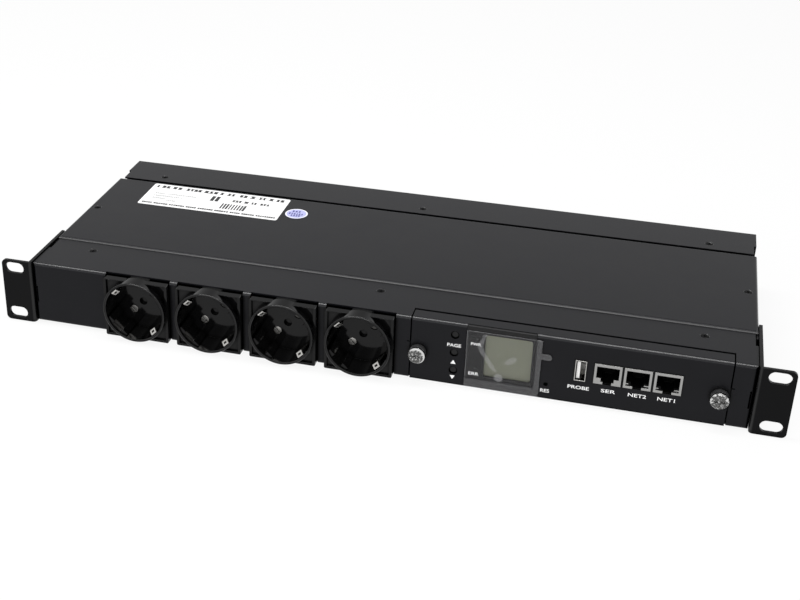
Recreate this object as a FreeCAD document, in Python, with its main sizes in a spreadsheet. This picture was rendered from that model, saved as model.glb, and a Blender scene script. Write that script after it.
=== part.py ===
import FreeCAD, Part
import os
import re

# Rack power distribution unit, one unit high, in millimetres.
# X runs to the right along the front, Y runs back from the front wall, Z runs up.
# The origin is the centre of the rack ears' slots, in the plane of the ears' backs,
# which is also the plane of the front wall's face.
# Heights in this file are given from the underside of the chassis.

DIMS = {
    # folded steel
    "sheet_t": 1.2, "bend_out": 2.4, "bend_in": 1.2, "shoulder_out": 1.8, "shoulder_in": 0.6,
    "front_w": 441.4, "relief_w": 438.2, "body_h": 41.6, "body_d": 180.0,
    "side_front": 24.0, "side_rear": 158.6, "wall_top": 38.6, "strip_front": 38.0,
    "strip_rear": 146.4,
    "end_slot_x": 218.4, "end_slot_w": 1.0, "end_slot_z": 14.0, "end_slot_h": 11.4,
    # raised middle cover
    "cover_w": 441.8, "cover_front": 38.3, "cover_rear": 142.0, "cover_rise": 1.2,
    "cover_side_y": 33.4, "flange_w": 432.0, "flange_front": 18.0, "flange_rear": 166.0,
    "flange_drop": 1.4,
    "lip_y": 80.0, "lip_len": 18.0, "lip_in": 209.0,
    # countersunk screws of the cover
    "screw_x": 191.0, "screw_front": 27.5, "screw_rear": 154.5, "screw_side_x": 215.0,
    "screw_side_y": 89.0,
    "csk_r": 2.6, "csk_depth": 1.1, "shank_r": 1.4, "shank_len": 4.4, "screw_gap": 0.2,
    "screw_sunk": 0.35, "cross_l": 1.2, "cross_w": 0.35, "cross_d": 0.85,
    # rack ears
    "ear_t": 2.0, "ear_h": 42.9, "ear_low": -0.5, "ear_mid": 21.4, "ear_in": 221.0, "ear_back": 48.8,
    "rack_w": 482.6,
    "ear_bend": 2.4, "ear_corner": 3.0, "slot_span": 465.1, "slot_rise": 31.75, "slot_len": 12.6,
    "slot_w": 7.4,
    "ear_screw_y1": 12.0, "ear_screw_y2": 44.0, "ear_screw_z1": 10.5, "ear_screw_z2": 32.0,
    "ear_csk_r": 3.3, "ear_csk_depth": 1.5, "ear_shank_r": 1.7,
    # socket outlets
    "socket_x0": -149.2, "socket_pitch": 47.8, "socket_z": 20.9, "socket_open": 42.9,
    "plate_w": 42.2, "plate_z0": 0.4, "plate_z1": 40.3, "plate_proud": 4.2, "plate_back": 0.4,
    "ring_proud": 8.6, "ring_r": 20.5,
    "well_r": 18.8, "well_floor": 8.4, "open_depth": 2.8, "collar_edge": 0.7, "mouth_bevel": 0.4,
    "plate_corner": 1.0,
    "mid_w": 41.8, "mid_z0": 1.4, "mid_z1": 38.6, "mid_y1": 12.0, "rear_w": 34.0, "rear_z0": 5.0,
    "rear_z1": 36.0, "rear_y1": 32.0, "pocket_w": 38.8, "pocket_h": 37.8, "pocket_floor": 2.8,
    "rib_u0": 15.6, "rib_u1": 18.6, "rib_w0": 3.8, "rib_w1": 8.0, "rib_top": 7.2,
    "pin_u": 9.5, "pin_hole_r": 3.0, "centre_hole_r": 2.6, "pin_depth": 17.5, "centre_depth": 10.6,
    "contact_r": 2.7, "contact_nose_r": 2.5, "contact_y": 8.7, "contact_nose": 1.0, "slit": 0.6,
    "clip_half": 2.2, "clip_t": 0.7, "clip_tip_w": 17.7, "clip_mid_w": 15.5, "clip_tip_y": 7.4,
    "clip_mid_y": 5.6, "clip_eye_u": 1.1, "clip_eye_w0": 16.3, "clip_eye_w1": 17.3,
    "clip_end_y": 7.6, "clip_tail_y": 12.5, "root2": 0.70710678,
    # management module
    "mod_x0": 25.1, "mod_x1": 208.0, "mod_z0": 0.4, "mod_flap": 10.9, "mod_gap": 0.45, "flap_gap": 1.2,
    "relief_z": 25.0, "relief_h": 0.7, "relief_len": 2.2,
    "tray_x0": 40.0, "tray_x1": 196.0, "tray_z": 1.6, "tray_t": 1.0, "tray_len": 90.0,
    "disp_x0": 58.4, "disp_x1": 98.8, "disp_z0": 6.6, "disp_back": 2.0, "disp_corner": 2.5,
    "lcd_x0": 69.2, "lcd_x1": 96.9, "lcd_z0": 8.4, "lcd_z1": 36.8, "lcd_corner": 1.5, "bezel_gap": 0.2,
    "bezel_y0": 0.1, "bezel_y1": 1.9, "bezel_corner": 2.3,
    "panel_rim": 1.6, "panel_y0": 2.0, "panel_y1": 4.4,
    "led_x": 64.4, "led_z1": 12.9, "led_z2": 32.6, "led_r": 0.9,
    "film_x0": 58.3, "film_x1": 102.7, "film_z0": 0.6, "film_z1": 38.8, "film_y": 0.25,
    "film_t": 0.15,
    "tab_len": 6.1, "tab_z0": 26.0, "tab_z1": 30.1,
    "key_x": 51.4, "key_z0": 10.0, "key_pitch": 11.95, "key_r": 1.9, "key_hole_r": 2.6,
    "key_y0": 0.8, "key_y1": 5.0,
    "key_collar_r": 2.9, "key_collar_y": 2.0, "key_collar_t": 0.8,
    "sw_w": 6.0, "sw_y0": 6.5, "sw_tip_y": 5.5, "sw_tip_r": 1.5, "board_y": 8.6, "board_t": 1.6,
    "rst_x": 106.2, "rst_z": 10.0, "rst_hole_r": 1.3, "rst_r": 0.9, "rst_y0": 3.6,
    "db_x0": 42.0, "db_x1": 111.0, "db_z0": 4.0, "db_z1": 39.0,
    "cap_x0": 29.9, "cap_x1": 202.8, "cap_z": 19.3, "cap_head_r": 5.15, "cap_face": 6.6,
    "cap_bevel": 0.8,
    "cap_under": 4.0, "cap_sleeve_r": 4.95, "cap_neck_r": 3.1, "cap_hole_r": 3.5, "cap_shank_r": 2.0,
    "cap_bore_r": 2.3, "cap_end": 7.0, "tab_w": 11.0, "tab_over": 9.0, "tab_lo": 10.0,
    "tab_hi": 24.8, "tab_t": 1.5,
    # ports
    "sensor_x0": 121.9, "sensor_w": 6.4, "sensor_z0": 15.8, "sensor_h": 13.4, "port_gap": 0.25,
    "port_proud": 0.4, "sensor_t": 0.4,
    "sensor_len": 13.0, "tongue_x": 1.0, "tongue_t": 1.9, "tongue_h": 11.0, "tongue_y": 0.7,
    "foot_gap": 0.3, "foot_t": 2.0,
    "jack_x0": 140.6, "jack_pitch": 16.8, "jack_w": 15.5, "jack_z0": 15.8, "jack_h": 13.1,
    "jack_len": 15.0,
    "jack_t": 0.4, "mouth_w": 12.0, "mouth_z1": 27.1, "mouth_z0": 20.2, "step_w": 6.6,
    "step_z0": 18.2, "latch_w": 4.2, "latch_z0": 16.9, "mouth_depth": 12.0, "mouth_gap": 0.3,
    "window_w": 12.8, "window_z0": 17.3, "window_z1": 27.2, "notch_w": 5.0, "serial_w": 7.4,
    "serial_z": 19.7, "catch_z": 18.4, "catch_t": 0.6, "catch_l": 1.5, "catch_r": 2.6,
    "wire_w": 0.45, "wire_pitch": 1.02, "wire_t": 0.4, "wire_y0": 4.0, "wire_y1": 11.0,
    "wire_z0": 26.2, "wire_z1": 23.0,
    "cb_x0": 112.0, "cb_x1": 192.0, "cb_y0": 2.6, "cb_y1": 84.0, "cb_z": 14.0,
    "post_r": 2.5,
    # power side inside the chassis
    "rb_x0": -185.0, "rb_x1": 12.0, "rb_y0": 45.0, "rb_y1": 135.0, "rb_z": 8.0,
    "relay_w": 12.7, "relay_l": 29.0, "relay_h": 15.7, "relay_y": 52.0,
    "psu_x0": -178.0, "psu_l": 52.0, "psu_y0": 98.0, "psu_w": 30.0, "psu_h": 22.0,
    "bar_y": 32.6, "bar_t": 1.5, "bar_h": 5.0, "bar_x0": -166.0, "bar_x1": 12.0, "bar_z": 10.0,
    "bar_pitch": 8.5,
    "term_x0": 60.0, "term_l": 40.0, "term_y0": 118.0, "term_w": 18.0, "term_h": 20.0,
    # rear wall
    "inlet_x": 150.0, "inlet_z": 20.8, "inlet_fw": 50.0, "inlet_fh": 28.0, "inlet_ft": 2.6,
    "inlet_w": 31.0,
    "inlet_h": 24.0, "inlet_in": 30.0, "cav_w": 27.4, "cav_h": 20.4, "cav_d": 21.0,
    "inlet_screw": 20.0, "cav_corner": 3.0,
    "blade_w": 8.0, "blade_t": 2.0, "blade_len": 14.0, "blade_dx": 6.5, "blade_dz": 4.0,
    "stud_x": 95.0, "stud_z": 20.8, "stud_r": 2.5, "stud_out": 11.0, "nut_r": 4.6, "nut_t": 4.0,
    "washer_r": 5.0,
    # label and sticker on the cover
    "label_x0": -191.8, "label_x1": -90.6, "label_y0": 103.4, "label_y1": 139.0, "label_t": 0.15,
    "label_gap": 0.05, "label_corner": 1.6,
    "sticker_x": -80.5, "sticker_y": 118.0, "sticker_r": 7.75,
}

doc = FreeCAD.newDocument("rack_power_distribution_unit")
sheet = doc.addObject("Spreadsheet::Sheet", "dims")
for row, (alias, number) in enumerate(DIMS.items(), start=1):
    sheet.set(f"A{row}", alias)
    sheet.set(f"B{row}", str(number))
    sheet.setAlias(f"B{row}", alias)
doc.recompute()

V = FreeCAD.Vector
TURN = {
    "x": FreeCAD.Rotation(V(0, 1, 0), 90),
    "y": FreeCAD.Rotation(V(1, 0, 0), -90),
    "z": FreeCAD.Rotation(),
}
pieces = []


def ex(text):
    """Write an expression with every dimension name read from the sheet."""
    def name(match):
        word = match.group(0)
        return "dims." + word if word in DIMS else word
    return re.sub(r"[a-z][a-z0-9_]*", name, str(text))


def bind(obj, **values):
    for prop, text in values.items():
        obj.setExpression(prop, ex(text))


def place(obj, x, y, z):
    """Set a position; heights are given from the underside and kept from the middle of the ears."""
    obj.setExpression("Placement.Base.x", ex(x))
    obj.setExpression("Placement.Base.y", ex(y))
    obj.setExpression("Placement.Base.z", ex(f"({z}) - ear_mid"))
    return obj


def box(name, x0, x1, y0, y1, z0, z1):
    """A block between two values along each axis."""
    b = doc.addObject("Part::Box", name)
    bind(b, Length=f"({x1}) - ({x0})", Width=f"({y1}) - ({y0})", Height=f"({z1}) - ({z0})")
    return place(b, x0, y0, z0)


def cyl(name, axis, radius, x, y, z, length):
    """A round bar that starts at a point and runs along one axis."""
    c = doc.addObject("Part::Cylinder", name)
    bind(c, Radius=radius, Height=length)
    c.Placement = FreeCAD.Placement(V(), TURN[axis])
    return place(c, x, y, z)


def cone(name, axis, r1, r2, x, y, z, length):
    """A round taper from the first radius to the second along one axis."""
    c = doc.addObject("Part::Cone", name)
    bind(c, Radius1=r1, Radius2=r2, Height=length)
    c.Placement = FreeCAD.Placement(V(), TURN[axis])
    return place(c, x, y, z)


def hexagon(name, axis, radius, x, y, z, length):
    """A six-sided bar that starts at a point and runs along one axis."""
    h = doc.addObject("Part::Prism", name)
    h.Polygon = 6
    bind(h, Circumradius=radius, Height=length)
    h.Placement = FreeCAD.Placement(V(), TURN[axis])
    return place(h, x, y, z)


def fuse(name, parts):
    f = doc.addObject("Part::MultiFuse", name)
    f.Shapes = parts
    return f


def group(name, parts):
    """Separate solids kept together as one sub-part."""
    c = doc.addObject("Part::Compound", name)
    c.Links = parts
    return c


def cut(name, base, tools):
    c = doc.addObject("Part::Cut", name)
    c.Base = base
    c.Tool = tools[0] if len(tools) == 1 else fuse(name + "_tools", tools)
    return c


def rounded(name, base, direction, radius, chosen):
    """Round the straight edges along the given direction or directions whose middle passes the test."""
    along = direction if isinstance(direction, tuple) else (direction,)
    doc.recompute()
    size = float(sheet.get(radius))
    picks = []
    for number, edge in enumerate(base.Shape.Edges, start=1):
        if not isinstance(edge.Curve, Part.Line):
            continue
        straight = any(abs(abs(edge.Curve.Direction.dot(d)) - 1) < 1e-6 for d in along)
        if straight and chosen(edge.CenterOfMass):
            picks.append((number, size, size))
    f = doc.addObject("Part::Fillet", name)
    f.Base = base
    f.Edges = picks
    return f


def rim(name, base, radius, y):
    """Round the circular edges of a turned block that lie at one depth."""
    doc.recompute()
    size, depth = float(sheet.get(radius)), float(sheet.get(y))
    picks = []
    for number, edge in enumerate(base.Shape.Edges, start=1):
        if isinstance(edge.Curve, Part.Circle) and abs(abs(edge.Curve.Center.y) - depth) < 0.01:
            picks.append((number, size, size))
    f = doc.addObject("Part::Fillet", name)
    f.Base = base
    f.Edges = picks
    return f


def done(obj, label):
    obj.Label = label
    pieces.append(obj)


def always(point):
    return True


X, Y, Z = V(1, 0, 0), V(0, 1, 0), V(0, 0, 1)
SIDES = (("left", "-1"), ("right", "1"))
TOP_SCREWS = [(f"screw_x * ({k})", y, "body_h") for y in ("screw_front", "screw_rear") for k in (-1, 0, 1)]
TOP_SCREWS += [(f"screw_side_x * ({s})", "screw_side_y", "body_h + cover_rise") for side, s in SIDES]


def mirrored(name, s, inner, outer, y0, y1, z0, z1):
    """A block on the left (s = -1) or the right (s = 1), given by its distances from the middle."""
    lo, hi = (inner, outer) if s == "1" else (f"-({outer})", f"-({inner})")
    return box(name, lo, hi, y0, y1, z0, z1)


def countersink(name, x, y, top, gap):
    """A countersunk screw standing along Z with its head just below a surface, or the hole for it."""
    sunk = "screw_sunk" if gap == "0" else "0"
    wide = f"csk_r + {gap} - {sunk} * (csk_r - shank_r) / csk_depth"
    head = cone(name + "_head", "z", f"shank_r + {gap}", wide, x, y, f"{top} - csk_depth",
                f"csk_depth - {sunk}")
    shank = cyl(name + "_shank", "z", f"shank_r + {gap}", x, y, f"{top} - shank_len", "shank_len - 0.9")
    over = cyl(name + "_over", "z", f"csk_r + {gap}", x, y, top, "2") if gap != "0" else None
    return [head, shank] + ([over] if over else [])


def side_screw(name, s, y, z, gap):
    """A countersunk screw along X with its head flush with an ear's outer face, or the hole for it."""
    outer = "ear_in + ear_t"
    r_head, r_shank = f"ear_csk_r + {gap}", f"ear_shank_r + {gap}"
    start = f"{outer} - ear_csk_depth" if s == "1" else f"-({outer})"
    radii = (r_shank, r_head) if s == "1" else (r_head, r_shank)
    head = cone(name + "_head", "x", radii[0], radii[1], start, y, z, "ear_csk_depth")
    reach = "ear_t + 4.5"
    first = f"{outer} - ({reach})" if s == "1" else f"-({outer})"
    shank = cyl(name + "_shank", "x", r_shank, first, y, z, reach)
    return [head, shank]


def ear_screw_places():
    return [(y, z) for y in ("ear_screw_y1", "ear_screw_y2") for z in ("ear_screw_z1", "ear_screw_z2")]


def socket_x(i):
    return f"(socket_x0 + {i} * socket_pitch)"


def make_chassis():
    outer = box("chassis_outer", "-front_w / 2", "front_w / 2", "0", "body_d", "0", "body_h")
    outer = rounded("chassis_bends", outer, (X, Z), "bend_out", always)
    inner = box("chassis_inner", "-front_w / 2 + sheet_t", "front_w / 2 - sheet_t", "sheet_t",
                "body_d - sheet_t", "sheet_t", "body_h - sheet_t")
    inner = rounded("chassis_inner_bends", inner, (X, Z), "bend_in", always)
    shell = cut("chassis_shell", outer, [inner])
    tools = [box("chassis_top_open", "-front_w", "front_w", "strip_front", "strip_rear", "body_h - 5",
                 "body_h + 1")]
    for side, s in SIDES:
        tools.append(mirrored(f"chassis_side_{side}", s, "relief_w / 2", "front_w / 2 + 1", "side_front",
                              "side_rear", "-1", "body_h + 1"))
        tools.append(mirrored(f"chassis_end_slot_{side}", s, "end_slot_x", "end_slot_x + end_slot_w", "-1",
                              "sheet_t + 1", "end_slot_z", "end_slot_z + end_slot_h"))
    for i in range(4):
        tools.append(box(f"chassis_socket_{i}", f"{socket_x(i)} - socket_open / 2",
                         f"{socket_x(i)} + socket_open / 2", "-1", "open_depth", "-1", "body_h + 1"))
    tools.append(box("chassis_module", "mod_x0 - mod_gap", "mod_x1 + mod_gap", "-1", "open_depth", "-1",
                     "body_h + 1"))
    tools.append(box("chassis_flap", "mod_x0 - mod_gap", "mod_x1 + mod_gap", "-1", "mod_flap + flap_gap",
                     "body_h - 5", "body_h + 1"))
    tools.append(box("chassis_relief_0", "mod_x0 - relief_len", "mod_x0", "-1", "sheet_t + 0.05",
                     "relief_z", "relief_z + relief_h"))
    tools.append(box("chassis_relief_1", "mod_x1", "mod_x1 + relief_len", "-1", "sheet_t + 0.05",
                     "relief_z", "relief_z + relief_h"))
    for n, (x, y, top) in enumerate(TOP_SCREWS[:6]):
        tools += countersink(f"chassis_hole_{n}", x, y, top, "screw_gap")
    for side, s in SIDES:
        for n, z in enumerate(("ear_screw_z1", "ear_screw_z2")):
            tools.append(cyl(f"chassis_ear_hole_{side}_{n}", "x", "ear_shank_r + 0.3", f"({s}) * 220 - 5",
                             "ear_screw_y1", z, "10"))
    tools.append(box("chassis_inlet", "inlet_x - inlet_w / 2 - 0.4", "inlet_x + inlet_w / 2 + 0.4",
                     "body_d - 3", "body_d + 1", "inlet_z - inlet_h / 2 - 0.4",
                     "inlet_z + inlet_h / 2 + 0.4"))
    tools.append(cyl("chassis_stud", "y", "stud_r + 0.3", "stud_x", "body_d - 3", "stud_z", "4"))
    for n, k in enumerate((-1, 1)):
        tools.append(cyl(f"chassis_inlet_hole_{n}", "y", "shank_r + 0.3", f"inlet_x + ({k}) * inlet_screw",
                         "body_d - 3", "inlet_z", "4"))
    sheet_part = cut("chassis_sheet", shell, tools)
    extra = []
    for side, s in SIDES:
        extra.append(mirrored(f"chassis_wall_{side}", s, "relief_w / 2 - sheet_t", "relief_w / 2",
                              "side_front + 0.6", "side_rear - 0.6", "0.4", "wall_top"))
        extra.append(mirrored(f"chassis_upright_{side}", s, "relief_w / 2 - sheet_t", "relief_w / 2",
                              "lip_y", "lip_y + lip_len", "0.4", "body_h - 0.3"))
        extra.append(mirrored(f"chassis_lip_{side}", s, "lip_in", "relief_w / 2", "lip_y",
                              "lip_y + lip_len", "body_h - 0.3 - sheet_t", "body_h - 0.3"))
    extra.append(box("chassis_tab_0", "mod_x0 - tab_over", "mod_x0 + tab_w", "sheet_t", "sheet_t + tab_t",
                     "tab_lo", "tab_hi"))
    extra.append(box("chassis_tab_1", "mod_x1 - tab_w", "mod_x1 + tab_over", "sheet_t", "sheet_t + tab_t",
                     "tab_lo", "tab_hi"))
    whole = fuse("chassis_whole", [sheet_part] + extra)
    holes = [cyl(f"chassis_tab_hole_{n}", "y", "cap_bore_r", x, "0", "cap_z", "4")
             for n, x in enumerate(("cap_x0", "cap_x1"))]
    holes += [cyl(f"chassis_lip_hole_{side}", "z", "shank_r + screw_gap", f"({s}) * screw_side_x",
                  "screw_side_y", "body_h - 4", "6") for side, s in SIDES]
    holes += [cyl(f"chassis_wall_hole_{side}_{n}", "x", "ear_shank_r + 0.3", f"({s}) * 217 - 5",
                  "ear_screw_y2", z, "10") for side, s in SIDES for n,
              z in enumerate(("ear_screw_z1", "ear_screw_z2"))]
    done(cut("chassis_part", whole, holes), "chassis")


def make_cover():
    """A tray with bent shoulders whose front and rear walls end in flanges under the chassis strips."""
    top = "body_h + cover_rise"
    low = "body_h - sheet_t - flange_drop"
    outer = box("cover_outer", "-cover_w / 2", "cover_w / 2", "cover_front", "cover_rear", "0.2", top)
    outer = rounded("cover_bends", outer, (X, Y), "shoulder_out", lambda p: p.z > 0)
    within = ("-cover_w / 2 + sheet_t", "cover_w / 2 - sheet_t")
    inner = box("cover_inner", *within, "cover_front + sheet_t", "cover_rear - sheet_t", "-1",
                f"{top} - sheet_t")
    inner = rounded("cover_inner_bends", inner, (X, Y), "shoulder_in", lambda p: p.z > 0)
    below = [
        box("cover_below_front", *within, "cover_front - 1", "cover_front + sheet_t + 1", "-1", low),
        box("cover_below_rear", *within, "cover_rear - sheet_t - 1", "cover_rear + 1", "-1", low),
    ]
    shell = cut("cover_shell", outer, [inner] + below)
    wide = ("-flange_w / 2", "flange_w / 2")
    lips = [
        box("cover_flange_front", *wide, "flange_front", "cover_front + sheet_t", low, f"{low} + sheet_t"),
        box("cover_flange_rear", *wide, "cover_rear - sheet_t", "flange_rear", low, f"{low} + sheet_t"),
    ]
    for side, s in SIDES:
        lips.append(mirrored(f"cover_side_{side}", s, "cover_w / 2 - sheet_t", "cover_w / 2",
                             "cover_side_y", "cover_front + 1", "0.2", "body_h - 0.7"))
    whole = fuse("cover_whole", [shell] + lips)
    tools = []
    for n, (x, y, z) in enumerate(TOP_SCREWS[:6]):
        tools.append(cyl(f"cover_hole_{n}", "z", "shank_r + screw_gap", x, y, "body_h - 6", "6"))
    for n, (x, y, z) in enumerate(TOP_SCREWS[6:]):
        tools += countersink(f"cover_side_hole_{n}", x, y, z, "screw_gap")
    for side, s in SIDES:
        for n, z in enumerate(("ear_screw_z1", "ear_screw_z2")):
            tools.append(cyl(f"cover_ear_hole_{side}_{n}", "x", "ear_shank_r + 0.3", f"({s}) * 220 - 5",
                             "ear_screw_y2", z, "10"))
    done(cut("cover_part", whole, tools), "top_cover")


def make_cover_screws():
    screws = []
    for n, (x, y, top) in enumerate(TOP_SCREWS):
        body = fuse(f"top_screw_{n}_body", countersink(f"top_screw_{n}", x, y, top, "0"))
        deep = (f"{top} - cross_d", f"{top} + 1")
        cross = [box(f"top_screw_{n}_slot_a", f"{x} - cross_l", f"{x} + cross_l", f"{y} - cross_w",
                     f"{y} + cross_w", *deep),
                 box(f"top_screw_{n}_slot_b", f"{x} - cross_w", f"{x} + cross_w", f"{y} - cross_l",
                     f"{y} + cross_l", *deep)]
        screws.append(cut(f"top_screw_{n}_part", body, cross))
    done(group("cover_screw_group", screws), "cover_screws")


def make_ears():
    for side, s in SIDES:
        low, high = "ear_low", "ear_low + ear_h"
        face = mirrored(f"ear_{side}_face", s, "ear_in", "rack_w / 2", "-ear_t", "0", low, high)
        wall = mirrored(f"ear_{side}_wall", s, "ear_in", "ear_in + ear_t", "-ear_t", "ear_back", low, high)
        ear = fuse(f"ear_{side}_raw", [face, wall])
        inside = float(sheet.get("ear_in"))
        tip = float(sheet.get("rack_w")) / 2
        front = -float(sheet.get("ear_t"))
        ear = rounded(f"ear_{side}_bend", ear, Z, "ear_bend",
                      lambda p: abs(abs(p.x) - inside) < 0.01 and abs(p.y - front) < 0.01)
        ear = rounded(f"ear_{side}_corners", ear, Y, "ear_corner", lambda p: abs(abs(p.x) - tip) < 0.01)
        tools = []
        half = "(slot_len - slot_w) / 2"
        for n, k in enumerate((-1, 1)):
            mid_x, mid_z = f"({s}) * slot_span / 2", f"ear_mid + ({k}) * slot_rise / 2"
            tools.append(box(f"ear_{side}_slot_{n}", f"{mid_x} - {half}", f"{mid_x} + {half}", "-ear_t - 1",
                             "1", f"{mid_z} - slot_w / 2", f"{mid_z} + slot_w / 2"))
            for m, e in enumerate(("-", "+")):
                tools.append(cyl(f"ear_{side}_slot_{n}_end_{m}", "y", "slot_w / 2", f"{mid_x} {e} {half}",
                                 "-ear_t - 1", mid_z, "ear_t + 2"))
        for n, (y, z) in enumerate(ear_screw_places()):
            tools += side_screw(f"ear_{side}_hole_{n}", s, y, z, "0.2")
        done(cut(f"ear_{side}_part", ear, tools), f"rack_ear_{side}")


def make_ear_screws():
    screws = []
    for side, s in SIDES:
        for n, (y, z) in enumerate(ear_screw_places()):
            name = f"ear_screw_{side}_{n}"
            body = fuse(name + "_body", side_screw(name, s, y, z, "0"))
            face = f"({s}) * (ear_in + ear_t)"
            cross = [box(name + "_slot_a", f"{face} - 0.9", f"{face} + 0.9", f"{y} - 1.8", f"{y} + 1.8",
                         f"{z} - 0.4", f"{z} + 0.4"), box(name + "_slot_b", f"{face} - 0.9",
                                                          f"{face} + 0.9", f"{y} - 0.4", f"{y} + 0.4",
                                                          f"{z} - 1.8", f"{z} + 1.8")]
            screws.append(cut(name + "_part", body, cross))
    done(group("ear_screw_group", screws), "ear_screws")


def diagonal(name, i, u0, u1, y0, y1, w0, w1):
    """A block in a socket turned by 45 degrees: u runs to the upper right, w to the upper left."""
    b = doc.addObject("Part::Box", name)
    bind(b, Length=f"({u1}) - ({u0})", Width=f"({y1}) - ({y0})", Height=f"({w1}) - ({w0})")
    b.Placement = FreeCAD.Placement(V(), FreeCAD.Rotation(Y, -45))
    return place(b, f"{socket_x(i)} + (({u0}) - ({w0})) * root2", y0,
                 f"socket_z + (({u0}) + ({w0})) * root2")


def make_socket(i):
    n, cx = f"socket_{i + 1}", socket_x(i)
    plate = box(n + "_plate", f"{cx} - plate_w / 2", f"{cx} + plate_w / 2", "-plate_proud", "plate_back",
                "plate_z0", "plate_z1")
    plate = rounded(n + "_plate_round", plate, Y, "plate_corner", always)
    middle = box(n + "_middle", f"{cx} - mid_w / 2", f"{cx} + mid_w / 2", "0", "mid_y1", "mid_z0", "mid_z1")
    back = box(n + "_back", f"{cx} - rear_w / 2", f"{cx} + rear_w / 2", "mid_y1 - 1", "rear_y1", "rear_z0",
               "rear_z1")
    pocket = box(n + "_pocket", f"{cx} - pocket_w / 2", f"{cx} + pocket_w / 2", "-plate_proud - 1",
                 "-pocket_floor", "socket_z - pocket_h / 2", "socket_z + pocket_h / 2")
    core = cyl(n + "_core", "y", "ring_r", cx, "-ring_proud", "socket_z", "ring_proud + 1")
    pocket = cut(n + "_pockets", pocket, [core])
    block = cut(n + "_block", fuse(n + "_blocks", [plate, middle, back]), [pocket])
    collar = cyl(n + "_collar", "y", "ring_r", cx, "-ring_proud", "socket_z", "ring_proud")
    collar = rim(n + "_collar_round", collar, "collar_edge", "ring_proud")
    solid = fuse(n + "_solid", [block, collar])
    well = cyl(n + "_well", "y", "well_r", cx, "-ring_proud - 1", "socket_z", "well_floor + ring_proud + 1")
    lead = cone(n + "_lead", "y", "well_r + mouth_bevel + 0.5", "well_r", cx, "-ring_proud - 0.5",
                "socket_z", "mouth_bevel + 0.5")
    hollow = cut(n + "_hollow", solid, [well, lead])
    ribs = []
    for a, u in enumerate((("rib_u0", "rib_u1"), ("-rib_u1", "-rib_u0"))):
        for b, w in enumerate((("rib_w0", "rib_w1"), ("-rib_w1", "-rib_w0"))):
            ribs.append(diagonal(f"{n}_rib_{a}{b}", i, u[0], u[1], "-rib_top", "well_floor", w[0], w[1]))
    ribbed = fuse(n + "_ribbed", [hollow] + ribs)
    tools = [cyl(f"{n}_pin_{k}", "y", "pin_hole_r", f"{cx} + ({e}) * pin_u * root2", "well_floor - 1",
                 f"socket_z + ({e}) * pin_u * root2", "pin_depth - well_floor + 1") for k,
             e in enumerate((-1, 1))]
    tools.append(cyl(n + "_centre", "y", "centre_hole_r", cx, "well_floor - 1", "socket_z",
                     "centre_depth - well_floor + 1"))
    tail = ("-clip_half - 0.3", "clip_half + 0.3")
    wide = ("clip_tip_w - 0.4", "clip_tip_w + clip_t + 0.3")
    tools.append(diagonal(n + "_tail_0", i, *tail, "well_floor - 0.5", "clip_tail_y + 0.4", *wide))
    tools.append(diagonal(n + "_tail_1", i, *tail, "well_floor - 0.5", "clip_tail_y + 0.4", f"-({wide[1]})",
                          f"-({wide[0]})"))
    done(cut(n + "_part", ribbed, tools), n)


def leaf(name, i, turn, y0, y1, w0, w1):
    """One slanted length of an earth clip, from one distance from the axis to another."""
    k = doc.addObject("Part::Wedge", name)
    bind(k, Xmin="-clip_half", Xmax="clip_half", X2min="-clip_half", X2max="clip_half", Ymin=y0, Ymax=y1)
    bind(k, Zmin=w0, Zmax=f"{w0} + clip_t", Z2min=w1, Z2max=f"{w1} + clip_t")
    k.Placement = FreeCAD.Placement(V(), FreeCAD.Rotation(Y, turn))
    return place(k, socket_x(i), "0", "socket_z")


def make_socket_metal(i):
    clips = []
    for c, turn in enumerate((-45, 135)):
        n = f"earth_clip_{i + 1}_{c}"
        lengths = [leaf(n + "_nose", i, turn, "-clip_tip_y", "-clip_mid_y", "clip_tip_w", "clip_mid_w"),
                   leaf(n + "_spring", i, turn, "-clip_mid_y", "clip_end_y", "clip_mid_w", "clip_tip_w"),
                   leaf(n + "_tail", i, turn, "clip_end_y", "clip_tail_y", "clip_tip_w", "clip_tip_w")]
        sign = 1 - 2 * c
        span = sorted((sign * float(sheet.get("clip_eye_w0")), sign * float(sheet.get("clip_eye_w1"))))
        eye = diagonal(n + "_eye", i, "-clip_eye_u", "clip_eye_u", "-clip_tip_y - 1", "-clip_mid_y + 0.4",
                       str(span[0]), str(span[1]))
        clips.append(cut(n, fuse(n + "_strip", lengths), [eye]))
    done(group(f"earth_clip_group_{i + 1}", clips), f"earth_clips_{i + 1}")
    contacts = []
    for c, e in enumerate((-1, 1)):
        n = f"pin_contact_{i + 1}_{c}"
        x, z = f"{socket_x(i)} + ({e}) * pin_u * root2", f"socket_z + ({e}) * pin_u * root2"
        nose = cone(n + "_nose", "y", "contact_nose_r", "contact_r", x, "contact_y", z, "contact_nose")
        bar = cyl(n + "_bar", "y", "contact_r", x, "contact_y + contact_nose", z,
                  "pin_depth - contact_y - contact_nose - 0.2")
        gap = diagonal(n + "_slit", i, f"({e}) * pin_u - slit / 2", f"({e}) * pin_u + slit / 2",
                       "contact_y - 1", "contact_y + 5", "-4", "4")
        contacts.append(cut(n, fuse(n + "_body", [nose, bar]), [gap]))
    done(group(f"pin_contact_group_{i + 1}", contacts), f"pin_contacts_{i + 1}")


def jack_x(k):
    return f"(jack_x0 + {k} * jack_pitch)"


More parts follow.
